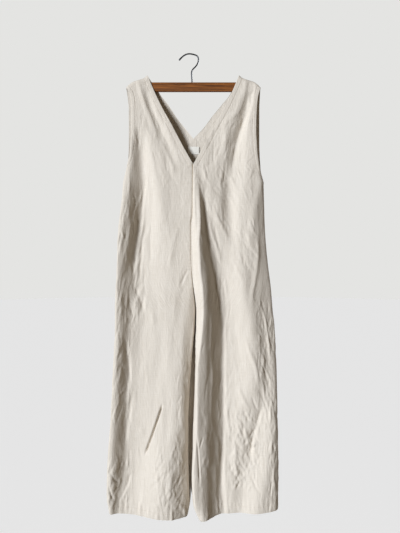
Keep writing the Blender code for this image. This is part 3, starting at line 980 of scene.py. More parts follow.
@dataclass(frozen=True)
class Crumple:
    """A patch of the small random creases that washed linen dries with."""

    centre: tuple[float, float]
    spread: tuple[float, float]
    count: int
    length: tuple[float, float] = (22.0, 80.0)
    width: tuple[float, float] = (3.5, 9.0)
    height: tuple[float, float] = (0.25, 0.9)
    lean_deg: float = 0.0  # 0 is upright, over 0 leans to the right going up
    fan_deg: float = 22.0
    seed: int = 1
    bow: float = 0.12  # how far a crease bows aside, in its own half lengths

    def relief(self, x: Array, z: Array) -> Array:
        """Find how far the patch moves the cloth outwards at some places.

        Args:
            x: Signed x of some places, in a flat array.
            z: Their heights.

        Returns:
            The outward movement at each place.
        """
        chance = np.random.default_rng(self.seed)
        total = np.zeros(len(x))
        for _ in range(self.count):
            spot = np.array(self.centre) + chance.uniform(-1, 1, 2) * self.spread
            turn = math.radians(self.lean_deg + chance.normal(0.0, self.fan_deg))
            half = chance.uniform(*self.length) / 2
            wide = chance.uniform(*self.width)
            tall = chance.uniform(*self.height) * chance.choice([-1.0, 1.0])
            bow = chance.normal(0.0, self.bow) * half
            reach = half + wide
            near = np.flatnonzero((np.abs(x - spot[0]) < reach) & (np.abs(z - spot[1]) < reach))
            dx, dz = x[near] - spot[0], z[near] - spot[1]
            along = (dx * math.sin(turn) + dz * math.cos(turn)) / half
            across = dx * math.cos(turn) - dz * math.sin(turn) - bow * (1.0 - along**2)
            inside = (np.abs(along) < 1.0) & (np.abs(across) < wide)
            shape = np.cos(along * math.pi / 2) ** 2 * np.cos(across / wide * math.pi / 2) ** 2
            total[near] += np.where(inside, tall * shape, 0.0)
        return total


@dataclass(frozen=True)
class TurnedEdge:
    """An edge turned in and topstitched: the thicker band, its stitch line and its puckers."""

    width: float  # from the edge to the stitch line
    raised: float = 0.45
    sunk: float = 0.55
    pucker: float = 0.5
    pitch: float = 11.0
    seed: int = 5
    step: float = 1.6  # over which the band's thickness ends
    line: float = 1.5  # the stitch line's width
    fades: float = 2.6  # how many widths from the edge the puckers end
    rounding: tuple[float, float] = (0.5, 0.7)  # depth and width of the edge's own rounding

    def relief(self, away: Array, along: Array) -> Array:
        """Find the band's outward movement.

        Args:
            away: Distances from the edge.
            along: Distances along the edge.

        Returns:
            The outward movement at each place.
        """
        band = self.raised * ease((self.width - away) / self.step + 0.5)
        stitch = -self.sunk * np.exp(-(((away - self.width) / self.line) ** 2))
        fading = (self.fades * self.width - away) / ((self.fades - 1.0) * self.width)
        swell = ease(away / self.width) * ease(fading)
        rounded = -self.rounding[0] * np.exp(-((away / self.rounding[1]) ** 2))
        return band + stitch + rounded + self.pucker * swell * ripple(along, self.pitch, self.seed)


@dataclass(frozen=True)
class Seam:
    """A pressed-open seam: its groove and the puckers that its thread draws up."""

    groove: float = 1.1
    width: float = 1.9
    pucker: float = 0.45
    pitch: float = 13.0
    reach: float = 14.0
    seed: int = 9
    open_for: float = 9999.0  # how far along it stays at its deepest
    closing: tuple[float, float] = (0.6, 30.0)  # the share it then loses, and over what length
    swell_from: float = 3.0

    def relief(self, away: Array, along: Array) -> Array:
        """Find the seam's outward movement.

        Args:
            away: Distances from the seam.
            along: Distances along the seam.

        Returns:
            The outward movement at each place.
        """
        closed = self.closing[0] * ease((along - self.open_for) / self.closing[1])
        depth = self.groove * (1.0 - closed)
        groove = -depth * np.exp(-((away / self.width) ** 2))
        fading = (self.reach - away) / (self.reach - self.swell_from)
        swell = ease(away / self.swell_from) * ease(fading)
        return groove + self.pucker * swell * ripple(along, self.pitch, self.seed)


# ---------------------------------------------------------------- the panels


@dataclass
class Panel:
    """One of the four panels, cut in one from the shoulder to the hem."""

    form: Form
    face: Face
    side: Side
    creases: tuple[Crease, ...]
    crumples: tuple[Crumple, ...]
    columns: int = 140
    row_step: float = 4.3
    wall: float = 0.9
    neck_band: TurnedEdge = TurnedEdge(14.0, pucker=1.2, pitch=9.0, seed=21)
    arm_band: TurnedEdge = TurnedEdge(11.0, pucker=0.35, seed=22)
    hem_band: TurnedEdge = TurnedEdge(20.0, pucker=0.7, pitch=15.0, seed=23)
    front_seam_left: Seam = Seam(7.0, 3.2, 0.8, 15.0, 20.0, 31, 165.0)
    front_seam_right: Seam = Seam(6.5, 0.1, 0.8, 15.0, 20.0, 31, 165.0)
    back_seam: Seam = Seam(0.6, 1.6, 0.5, 15.0, 14.0, 31)
    allowance: float = 12.0  # the seam allowance pressed open on the inside
    bar_foot_z: float = -122.0
    over_bar: float = 1.5  # how far the cloth may sink where the bar is behind it
    inseam: Seam = Seam(-0.1, 1.2, 0.3, 13.0, 12.0, 34)  # the legs touch along it
    side_seam: Seam = Seam(0.5, 1.9, 0.45, 13.0, 14.0, 32)
    shoulder_seam: Seam = Seam(0.6, 1.6, 0.2, 11.0, 8.0, seed=33)
    evenness: float = 0.6  # 1 spaces the columns evenly, less draws them towards the edges
    edge_share: float = 0.0008  # a second column this near the edge lets a seam stand upright
    shoulder_rows: tuple[float, ...] = (0.6, 3.0, 8.0, 20.0)  # extra rows below the shoulder
    hem_ply: float = 0.9  # what the turned hem adds, as a share of the wall
    facing_ply: float = 0.7  # what the facing and the allowances add to the wall
    ply_step: float = 2.0  # over which a second layer ends
    # how gently an allowance ends, how gently it starts at the seam, and its gap there
    allowance_steps: tuple[float, float, float] = (1.5, 1.2, 0.3)
    zone: float = 75.0  # how far across the cloth a seam or band is measured
    neck_zone: tuple[int, float] = (12, 60.0)  # rows below the V, and how far across
    arm_rows: int = 8  # rows below the armhole that its band is measured to
    hem_zone: float = 90.0
    shoulder_zone: int = 30  # in rows
    dies_out: tuple[float, float] = (7.0, 14.0)  # creases end this near a seam, the shoulder
    # below the bar, over this drop, the cloth may sink this much more
    below_bar: tuple[float, float] = (45.0, 40.0)

    @property
    def name(self) -> str:
        """The panel's name, which is also its solid's."""
        return f"{self.face.name}_{self.side.name}".lower()

    def build(self, finish: bpy.types.Material) -> bpy.types.Object:
        """Build the panel as a thin shell with its relief.

        Args:
            finish: The cloth's material.

        Returns:
            The panel's object.
        """
        self.lay_out()
        self.measure_edges()
        raised = self.raise_relief()
        self.outer = self.base + raised[..., None] * self.normals
        self.facing = self.fitted_normals(self.outer)
        hem = self.hem_ply * ease((self.hem_band.width - self.to_hem) / self.ply_step)
        thick = self.wall * (1.0 + hem)
        neck = ease((self.neck_band.width - self.to_neck) / self.ply_step)
        thick = thick + self.facing_ply * neck
        beside = np.minimum.reduce([self.edges[k][0] for k in ("centre", "inseam", "side")])
        end, start, gap = self.allowance_steps
        ply = self.facing_ply * ease((self.allowance - beside) / end)
        thick = thick + ply * ease(beside / start - gap)
        inner = self.outer - thick[..., None] * self.facing
        flip = (self.side is Side.RIGHT) == (self.face is Face.FRONT)
        return shell(self.name + "_cloth", self.outer, inner, self.flat, finish, flip)

    def lay_out(self) -> None:
        """Work out the panel's grid of places on the plain form, and its UVs."""
        form = self.form
        u = np.linspace(0.0, 1.0, self.columns + 1)
        bunched = 0.5 - 0.5 * np.cos(math.pi * u)
        self.share = self.evenness * u + (1.0 - self.evenness) * bunched
        self.share = np.insert(self.share, 1, self.edge_share)
        seam_x = form.shoulder[0][0] + self.share * (form.shoulder[-1][0] - form.shoulder[0][0])
        seam_z = run(form.shoulder).at(seam_x)
        hem_z = form.hem_z[0] + self.share * (form.hem_z[1] - form.hem_z[0])
        span = form.shoulder[0][1] - form.level_z
        tip = form.shoulder[-1][1]
        marks = sorted([
            0.0, *(drop / span for drop in self.shoulder_rows),
            (form.shoulder[0][1] - form.back_v_z) / span,
            (form.shoulder[0][1] - form.front_v_z) / span,
            (tip - form.underarm_z) / (tip - form.level_z), 1.0,
        ])
        sloped: list[float] = [0.0]
        for low, high in zip(marks, marks[1:]):
            count = max(1, math.ceil((high - low) * span / self.row_step))
            sloped += list(np.linspace(low, high, count + 1)[1:])
        rows = [seam_z + down * (form.level_z - seam_z) for down in sloped]
        body = math.ceil((form.level_z - form.crotch_z) / self.row_step)
        rows += [np.full_like(self.share, level)
                 for level in np.linspace(form.level_z, form.crotch_z, body + 1)[1:]]
        leg = math.ceil((form.crotch_z - form.hem_z[0]) / self.row_step)
        rows += [form.crotch_z + down * (hem_z - form.crotch_z)
                 for down in np.linspace(0.0, 1.0, leg + 1)[1:]]
        z = np.array(rows)
        inner = form.inner_x(self.face, self.side, z[:, :1])
        outer = form.edge_x(self.face, self.side, z[:, -1:])
        x = self.side.value * (inner + self.share * (outer - inner))
        y = form.depth(self.face, self.side, self.share[None, :], x, z, seam_z - z)
        self.base = np.stack([x, y, z], axis=2)
        self.normals = self.fitted_normals(self.base)
        across = np.linalg.norm(np.diff(self.base, axis=1), axis=2)
        down = np.linalg.norm(np.diff(self.base, axis=0), axis=2)
        self.across = np.concatenate([np.zeros((len(z), 1)), np.cumsum(across, axis=1)], axis=1)
        self.down = np.concatenate([np.zeros((1, z.shape[1])), np.cumsum(down, axis=0)], axis=0)
        middle = self.down[:, self.columns // 2][:, None]
        self.flat = np.stack([
            self.side.value * (inner + self.across), np.broadcast_to(-middle, z.shape)
        ], axis=2)

    def fitted_normals(self, points: Array) -> Array:
        """Find outward unit normals, turned into the seams' own planes along the seams.

        Args:
            points: The grid of points.

        Returns:
            The normals, of the same shape.
        """
        form, z = self.form, points[..., 2]
        normals = np.cross(np.gradient(points, axis=1), np.gradient(points, axis=0))
        if (self.side is Side.RIGHT) == (self.face is Face.FRONT):
            normals = -normals
        normals = unit(normals)
        crotch = np.abs(z[:, 0] - form.crotch_z) < SAME_ROW
        centre = (z[:, 0] <= form.v_z(self.face) + SAME_ROW) & (z[:, 0] > form.crotch_z)
        inseam = (z[:, 0] < form.crotch_z) & ~crotch
        below_arm = z[:, -1] <= form.underarm_z + SAME_ROW
        normals[0, :, 1] = 0.0
        normals[-1, :, 2] = 0.0
        normals[centre, 0] = (0.0, self.face.value, 0.0)
        normals[inseam, 0] = (-self.side.value, 0.0, 0.0)
        normals[below_arm, -1] = (self.side.value, 0.0, 0.0)
        normals[crotch, 0] = (0.0, 0.0, -1.0)
        return unit(normals)

    def measure_edges(self) -> None:
        """Measure how far each place is from each edge and seam, and where along it."""
        z, form = self.base[..., 2], self.form
        rows = np.arange(len(z))
        v_row = int(np.argmin(np.abs(z[:, 0] - form.v_z(self.face))))
        crotch = int(np.argmin(np.abs(z[:, 0] - form.crotch_z)))
        arm_row = int(np.argmin(np.abs(z[:, -1] - form.underarm_z)))
        spans = {
            "neck": (rows <= v_row, 0, self.base[: v_row + 1, 0]),
            "centre": ((rows >= v_row) & (rows <= crotch), 0, self.base[v_row : crotch + 1, 0]),
            "inseam": (rows >= crotch, 0, self.base[crotch:, 0]),
            "arm": (rows <= arm_row + self.arm_rows, -1, self.base[: arm_row + 1, -1]),
            "side": (rows >= arm_row, -1, self.base[arm_row:, -1]),
        }
        self.edges: dict[str, tuple[Array, Array]] = {}
        for name, (which, edge, line) in spans.items():
            gap = np.abs(self.across - self.across[:, edge : (edge % z.shape[1]) + 1])
            near = which[:, None] & (gap < self.zone)
            if name == "neck":
                near |= (rows <= v_row + self.neck_zone[0])[:, None] & (gap < self.neck_zone[1])
            self.edges[name] = self.distances(near, line)
        low = z < form.hem_z[0] + self.hem_zone
        self.edges["hem"] = self.distances(low, self.base[-1])
        high = np.broadcast_to((rows < self.shoulder_zone)[:, None], z.shape)
        self.edges["shoulder"] = self.distances(high, self.base[0])
        self.to_hem, self.to_neck = self.edges["hem"][0], self.edges["neck"][0]

    def distances(self, near: Array, line: Array) -> tuple[Array, Array]:
        """Measure places from a line.

        Args:
            near: Which of the grid's places are measured; the others count as far away.
            line: The line's points.

        Returns:
            The distance of each place, and the distance along the line of its nearest point.
        """
        away = np.full(near.shape, FAR)
        along = np.zeros(near.shape)
        away[near], along[near] = to_line(self.base[near], line)
        return away, along

    def raise_relief(self) -> Array:
        """Add up the creases, crumples, bands and seams, and let them die out at the seams.

        Returns:
            The outward movement at each place of the grid.
        """
        x, z = self.base[..., 0].ravel(), self.base[..., 2].ravel()
        loose = sum(c.relief(x, z) for c in self.creases)
        loose = loose + sum(c.relief(x, z) for c in self.crumples)
        loose = np.broadcast_to(loose, x.shape).reshape(self.base.shape[:2])
        e = self.edges
        beside = np.minimum.reduce([e[k][0] for k in ("centre", "inseam", "side")])
        held = ease(beside / self.dies_out[0]) * ease(e["shoulder"][0] / self.dies_out[1])
        bands = (
            self.neck_band.relief(*e["neck"])
            + self.arm_band.relief(*e["arm"])
            + self.hem_band.relief(*e["hem"])
        )
        on_left = self.side is Side.LEFT
        centre = self.front_seam_left if on_left else self.front_seam_right
        centre = centre if self.face is Face.FRONT else self.back_seam
        seams = (
            centre.relief(*e["centre"])
            + self.inseam.relief(*e["inseam"])
            + self.side_seam.relief(*e["side"])
        )
        relief = loose * held + bands * held + seams + self.shoulder_seam.relief(*e["shoulder"])
        down = ease((self.bar_foot_z - self.base[..., 2]) / self.below_bar[0])
        return np.maximum(relief, -self.over_bar - self.below_bar[1] * down)

    def sewing_lines(self) -> list[tuple[Array, Array]]:
        """Find the lines of topstitching: the points on the cloth and the way out at each."""
        bands = {"neck": self.neck_band, "arm": self.arm_band, "hem": self.hem_band}
        return [self.offset_line(name, band.width) for name, band in bands.items()]

    def offset_line(self, name: str, width: float) -> tuple[Array, Array]:
        """Find the line on the outer side that keeps one distance from an edge.

        Args:
            name: Which edge: neck, arm or hem.
            width: The distance.

        Returns:
            The line's points, and the outward normal at each.
        """
        grids = [self.edges[name][0][..., None], self.outer, self.facing]
        if name == "hem":
            grids = [grid.transpose(1, 0, 2)[:, ::-1] for grid in grids]
        elif name == "arm":
            grids = [grid[:, ::-1] for grid in grids]
        away = grids[0][..., 0]
        row = np.flatnonzero((away[:, 0] < width) & (away > width).any(1))
        past = (away[row] >= width).argmax(1)
        before = past - 1
        t = (width - away[row, before]) / (away[row, past] - away[row, before])
        points, normals = (g[row, before] + t[:, None] * (g[row, past] - g[row, before])
                           for g in grids[1:])
        return points, unit(normals)


@dataclass(frozen=True)
class Stitching:
    """A row of lockstitches: short rounded threads that dip into the cloth at both ends."""

    length: float = 2.6
    pitch: float = 3.2
    radius: float = 0.32
    sides: int = 6
    rings: tuple[float, ...] = (-0.5, -0.34, 0.34, 0.5)  # where they lie, in stitch lengths
    lifts: tuple[float, ...] = (-0.1, 0.2, 0.2, -0.1)  # how far each stands off the cloth
    sizes: tuple[float, ...] = (0.45, 1.0, 1.0, 0.45)  # each one's share of the radius

    def threads(self, line: Array, normals: Array) -> tuple[Array, list[Array]]:
        """Lay stitches along a line on the cloth.

        Args:
            line: The line's points in millimetres.
            normals: The outward normal at each point.

        Returns:
            The stitches' points, and their faces by corner count.
        """
        far = np.concatenate([[0.0], np.cumsum(np.linalg.norm(np.diff(line, axis=0), axis=1))])
        middle = np.arange(self.pitch, far[-1] - self.pitch, self.pitch)
        reach = np.array(self.rings) * self.length
        at = middle[:, None] + reach
        centre = np.stack([np.interp(at, far, line[:, k]) for k in range(3)], axis=2)
        up = unit(np.stack([np.interp(at, far, normals[:, k]) for k in range(3)], axis=2))
        ahead = unit(centre[:, -1:] - centre[:, :1])
        aside = unit(np.cross(ahead, up))
        lift = np.array(self.lifts)[:, None]
        size = np.array(self.sizes)[:, None, None] * self.radius
        turn = np.arange(self.sides) * 2 * math.pi / self.sides
        ring = (np.cos(turn)[:, None] * up[:, :, None] + np.sin(turn)[:, None] * aside[:, :, None])
        points = (centre + lift * up)[:, :, None] + size * ring
        index = np.arange(points[..., 0].size).reshape(points.shape[:3])
        following = np.roll(index, -1, axis=2)
        quads = [index[:, :-1], following[:, :-1], following[:, 1:], index[:, 1:]]
        sides = np.stack([corner.ravel() for corner in quads], axis=1)
        ends = np.concatenate([index[:, 0, ::-1], index[:, -1]])
        return points.reshape(-1, 3), [sides, ends]

    def sew(
        self, name: str, lines: list[tuple[Array, Array]], finish: bpy.types.Material
    ) -> bpy.types.Object:
        """Sew stitches along several lines as one piece.

        Args:
            name: The piece's name.
            lines: Each line's points and outward normals.
            finish: The thread's material.

        Returns:
            The stitches' object.
        """
        points, faces, count = [], [], 0
        for line, normals in lines:
            laid, corners = self.threads(line, normals)
            points.append(laid)
            faces += [part + count for part in corners]
            count += len(laid)
        return make_piece(name, np.concatenate(points), faces, finish)


# ---------------------------------------------------------------- the crease tables

# which flank of a crease is steep: the right one, the left one, both or neither
R, L, P, S = Bend.SHARP_RIGHT, Bend.SHARP_LEFT, Bend.PINCHED, Bend.SOFT

FRONT_CREASES: tuple[Crease, ...] = (
    # the ridge from the V to the hem, and the foot of the shade beside it
    Crease(R, 7, 12, 24, ((19, -405), (19, -452), (20, -500), (22, -555), (19, -612), (24, -709),
        (31, -773), (34, -838), (30, -902), (23, -967), (17, -1031), (16, -1128), (14, -1225), (9, -1289),
        (5, -1354), (7, -1418), (13, -1482), (18, -1512)), 0.1),
    Crease(L, -5, 34, 14, ((32, -420), (35, -484), (38, -532), (46, -580), (52, -645), (57, -677),
        (70, -741), (76, -773), (86, -806), (92, -870), (95, -967), (97, -1064), (97, -1193), (95, -1289),
        (91, -1354), (92, -1418), (99, -1482), (101, -1520)), 0.1),
    Crease(S, 1.6, 8, 9, ((57, -838), (59, -967), (60, -1100), (56, -1230))),
    Crease(P, -1.4, 5, 5, ((35, -935), (25, -973))),
    Crease(R, -3, 6, 4, ((11, -1218), (16, -1273), (19, -1321), (22, -1385)), 0.2),
    Crease(P, -2.2, 5, 5, ((32, -1231), (20, -1273))),
    # left strap and armhole
    Crease(R, 3.4, 16, 22, ((-182, -50), (-174, -110), (-158, -162), (-136, -217), (-123, -258),
        (-116, -307))),
    Crease(R, 1.8, 14, 16, ((-107, -284), (-87, -323), (-71, -362), (-55, -407))),
    Crease(L, -1.8, 9, 10, ((-184, -233), (-179, -278), (-181, -326))),
    # left side of the body
    Crease(L, -4.5, 34, 16, ((-165, -394), (-168, -484), (-174, -532), (-181, -597), (-187, -645),
        (-194, -703), (-200, -741)), 0.2),
    Crease(L, -2.2, 12, 9, ((-168, -606), (-168, -651), (-173, -693), (-178, -735))),
    Crease(L, -2.4, 12, 9, ((-194, -751), (-181, -780), (-171, -806), (-165, -838))),
    Crease(R, 1.4, 10, 12, ((-129, -838), (-126, -890))),
    Crease(R, 1.8, 22, 16, ((-49, -561), (-58, -613), (-68, -664), (-75, -716))),
    Crease(P, -2.6, 8, 7, ((-13, -703), (-28, -732), (-42, -764))),
    # left leg, outer edge
    Crease(L, -3.5, 34, 12, ((-223, -909), (-213, -967), (-207, -1031), (-213, -1115))),
    Crease(L, -3, 28, 12, ((-191, -1102), (-202, -1141), (-210, -1186), (-215, -1224), (-223, -1276))),
    Crease(P, -2.6, 8, 6, ((-265, -1344), (-252, -1369), (-237, -1392))),
    Crease(P, -3, 9, 7, ((-268, -1392), (-258, -1424), (-248, -1450))),
    Crease(L, -2.6, 14, 8, ((-203, -1360), (-210, -1392), (-223, -1424))),
    # left leg: the pinched line, far deeper than a real one so that it reads dark from the
    # front, and steeper than the mesh can follow cleanly; then the inner side
    Crease(R, -11, 5.2, 5.4, ((-96, -1134), (-113, -1186), (-131, -1237), (-149, -1286), (-155, -1305)),
        0.15),
    Crease(R, 4, 18, 16, ((-55, -1328), (-68, -1369), (-71, -1411), (-78, -1440))),
    Crease(R, 2.4, 10, 12, ((-39, -1279), (-33, -1331))),
    Crease(R, 2.8, 10, 10, ((-68, -1460), (-65, -1517))),
    Crease(R, 2.6, 10, 9, ((-49, -1443), (-26, -1482), (-23, -1508))),
    Crease(R, 2.4, 20, 14, ((-23, -1096), (-30, -1144), (-23, -1224), (-30, -1289))),
    Crease(R, 1.6, 8, 8, ((-191, -1443), (-189, -1489))),
    Crease(R, 1.7, 9, 8, ((-168, -1443), (-166, -1501))),
    Crease(R, 1.7, 9, 9, ((-113, -1476), (-110, -1514))),
    # right strap and chest
    Crease(L, -5, 22, 16, ((191, -40), (189, -107), (186, -155), (170, -207), (154, -249), (141, -294),
        (131, -342), (123, -394), (115, -439)), 0.25),
    Crease(R, 2.2, 20, 16, ((178, -55), (173, -110), (164, -152), (151, -188), (125, -213), (109, -239),
        (106, -291), (106, -355), (93, -419), (83, -468)), 0.2),
    Crease(P, -1.5, 6, 6, ((67, -284), (65, -329), (67, -374))),
    Crease(L, -1.7, 9, 7, ((106, -339), (101, -394), (93, -439))),
    Crease(R, 2.4, 14, 10, ((61, -497), (83, -545), (102, -580), (117, -622))),
    Crease(R, 2.6, 14, 11, ((38, -529), (61, -587), (83, -645), (96, -690))),
    Crease(L, -2, 10, 8, ((67, -561), (77, -613), (88, -664))),
    # right margin
    Crease(R, 3, 16, 14, ((209, -568), (210, -645), (206, -703), (199, -754), (191, -799), (196, -851))),
    Crease(R, 3, 9, 9, ((228, -838), (235, -877), (241, -922), (247, -967), (251, -1006))),
    Crease(R, 2.2, 9, 8, ((235, -1018), (244, -1051), (257, -1076))),
    Crease(R, 2, 12, 12, ((231, -967), (225, -1047), (228, -1121))),
    Crease(R, 1.6, 9, 9, ((212, -912), (214, -954))),
    Crease(R, 2.4, 9, 8, ((257, -1121), (251, -1167), (252, -1212))),
    Crease(R, 2.2, 9, 8, ((255, -1250), (251, -1308))),
    Crease(R, 2.4, 9, 8, ((264, -1334), (259, -1376), (270, -1421))),
    Crease(P, -2.2, 7, 7, ((254, -1385), (247, -1443))),
    # right leg
    Crease(R, 2.6, 14, 10, ((167, -912), (180, -960), (193, -996), (204, -1025), (210, -1070),
        (212, -1102))),
    Crease(R, 2.4, 12, 9, ((144, -1080), (157, -1112), (173, -1144), (186, -1167))),
    Crease(L, -5.5, 28, 12, ((225, -1141), (215, -1173), (206, -1205), (197, -1237), (186, -1290),
        (176, -1335)), 0.2),
    Crease(L, -2.6, 9, 6, ((189, -1115), (196, -1138), (206, -1163))),
    Crease(R, 2.4, 8, 7, ((144, -1205), (151, -1231), (160, -1257))),
    Crease(R, 2.6, 9, 7, ((164, -1205), (173, -1244), (183, -1286))),
    Crease(L, -2.6, 9, 7, ((193, -1244), (189, -1308))),
    Crease(R, 2.4, 9, 7, ((157, -1282), (173, -1305), (186, -1331))),
    Crease(P, -2.2, 7, 6, ((183, -1276), (164, -1315))),
    Crease(R, 2, 8, 8, ((138, -1334), (143, -1373))),
    Crease(P, -2.3, 8, 6, ((154, -1366), (138, -1395))),
    Crease(P, -2.5, 8, 6, ((154, -1392), (138, -1424))),
    Crease(R, 1.8, 8, 8, ((144, -1456), (149, -1489))),
)
BACK_CREASES: tuple[Crease, ...] = (
    # drags from the shoulders and the label
    Crease(R, 2.6, 18, 20, ((-182, -112), (-168, -180), (-150, -262), (-146, -350))),
    Crease(L, -2.4, 20, 16, ((186, -112), (174, -190), (160, -280), (156, -372))),
    Crease(P, -1.6, 7, 7, ((-20, -334), (-34, -392), (-41, -446))),
    Crease(P, -1.4, 7, 6, ((21, -332), (37, -402))),
    Crease(R, 1.8, 14, 12, ((-92, -330), (-84, -402), (-88, -480))),
    # the seat and the back of the thighs
    Crease(L, -3.4, 26, 14, ((-112, -560), (-118, -660), (-127, -760), (-131, -880), (-134, -1010)), 0.2),
    Crease(R, 3, 18, 24, ((64, -600), (72, -700), (84, -800), (90, -920)), 0.25),
    Crease(P, -2.6, 9, 7, ((14, -770), (34, -802), (58, -826))),
    Crease(P, -2.4, 7, 9, ((-12, -782), (-36, -818), (-56, -836))),
    Crease(L, -2.2, 12, 9, ((196, -560), (202, -640), (199, -720))),
    Crease(R, 2.2, 12, 12, ((-206, -620), (-212, -700), (-220, -775))),
    # legs
    Crease(R, 3.4, 24, 18, ((-62, -930), (-66, -1060), (-60, -1200), (-58, -1340), (-64, -1500)), 0.15),
    Crease(L, -4, 30, 14, ((122, -940), (128, -1060), (127, -1190), (121, -1330), (118, -1500)), 0.15),
    Crease(R, 2.6, 14, 12, ((-190, -900), (-182, -990), (-186, -1070))),
    Crease(P, -4.2, 5, 5, ((148, -1206), (163, -1262), (170, -1322)), 0.2),
    Crease(L, -2.8, 12, 9, ((216, -980), (224, -1052), (218, -1120))),
    Crease(R, 2.6, 10, 9, ((246, -1130), (240, -1196), (247, -1250))),
    Crease(P, -2.4, 7, 8, ((-238, -1290), (-226, -1332), (-232, -1380))),
    Crease(L, -2.6, 12, 8, ((-96, -1290), (-84, -1346), (-90, -1402))),
    Crease(R, 2.2, 9, 8, ((58, -1330), (66, -1390), (62, -1452))),
    Crease(R, 1.8, 9, 9, ((-150, -1440), (-147, -1500))),
    Crease(R, 1.7, 8, 9, ((176, -1436), (180, -1495))),
)
LONG = {"length": (170, 520), "width": (15, 36), "fan_deg": 5}
FRONT_CRUMPLES: tuple[Crumple, ...] = (
    Crumple((0, -850), (270, 620), 80, height=(0.8, 2.3), seed=100, **LONG),
    Crumple((0, -800), (280, 700), 160, (60, 220), (6, 13), (0.2, 0.8), 0, 6, 120),
    Crumple((0, -800), (280, 700), 560, height=(0.12, 0.55), seed=101),
    Crumple((-185, -640), (45, 210), 60, (60, 210), (5, 12), (0.5, 1.6), 4, 7, 121),
    Crumple((88, -1120), (34, 370), 80, (60, 240), (5, 12), (0.5, 1.6), 0, 6, 122),
    Crumple((-238, -1410), (34, 100), 60, (22, 80), (3.5, 8), (0.4, 1.4), 16, 18, 102),
    Crumple((-72, -1395), (48, 115), 120, (20, 80), (3.5, 8.5), (0.3, 1.4), 14, 18, 103),
    Crumple((-30, -1150), (18, 190), 60, (18, 70), (3.5, 8), (0.3, 1.2), 0, 14, 104),
    Crumple((166, -1290), (44, 125), 90, (20, 80), (4, 9.5), (0.5, 2.2), -26, 18, 105),
    Crumple((166, -1290), (44, 125), 80, (16, 60), (3.5, 8.5), (0.5, 2), 18, 26, 125),
    Crumple((236, -1010), (32, 205), 130, (24, 100), (3.5, 8), (0.3, 1.2), -14, 13, 106),
    Crumple((256, -1330), (24, 165), 80, (20, 80), (3, 7.5), (0.3, 1.1), 0, 14, 107),
    Crumple((-222, -1000), (34, 200), 110, (26, 110), (3.5, 9), (0.3, 1), 6, 11, 108),
    Crumple((-205, -690), (40, 175), 100, (26, 110), (3.5, 9), (0.3, 1), 8, 11, 109),
    Crumple((112, -560), (90, 180), 130, (26, 110), (4, 10), (0.3, 1.2), -24, 14, 110),
    Crumple((120, -310), (80, 120), 70, (20, 80), (4, 9), (0.3, 1), 26, 16, 111),
    Crumple((-110, -320), (80, 140), 60, (20, 90), (4, 9), (0.25, 0.9), -20, 14, 112),
    Crumple((-60, -620), (60, 190), 50, (24, 110), (4, 10), (0.15, 0.6), 8, 12, 113),
    Crumple((60, -1320), (34, 180), 60, (18, 80), (3.5, 8), (0.3, 1.1), 0, 10, 114),
)
BACK_CRUMPLES: tuple[Crumple, ...] = (
    Crumple((0, -850), (270, 620), 70, height=(0.8, 2.2), seed=200, **LONG),
    Crumple((0, -800), (280, 700), 160, (60, 220), (6, 13), (0.2, 0.8), 0, 6, 220),
    Crumple((0, -800), (280, 700), 560, height=(0.12, 0.55), seed=201),
    Crumple((150, -1280), (60, 150), 140, (14, 60), (3.5, 8.5), (0.4, 1.6), 14, 30, 202),
    Crumple((-120, -1350), (60, 120), 110, (14, 60), (3.5, 8.5), (0.4, 1.5), -10, 30, 203),
    Crumple((-225, -960), (34, 240), 130, (14, 60), (3, 8), (0.3, 1.4), 8, 26, 204),
    Crumple((236, -900), (34, 260), 140, (14, 60), (3, 8), (0.3, 1.5), -8, 26, 205),
    Crumple((0, -780), (90, 90), 110, (16, 80), (3.5, 9), (0.3, 1.4), 0, 38, 206),
    Crumple((0, -420), (150, 120), 90, (20, 80), (4, 9), (0.25, 0.9), 0, 20, 207),
)


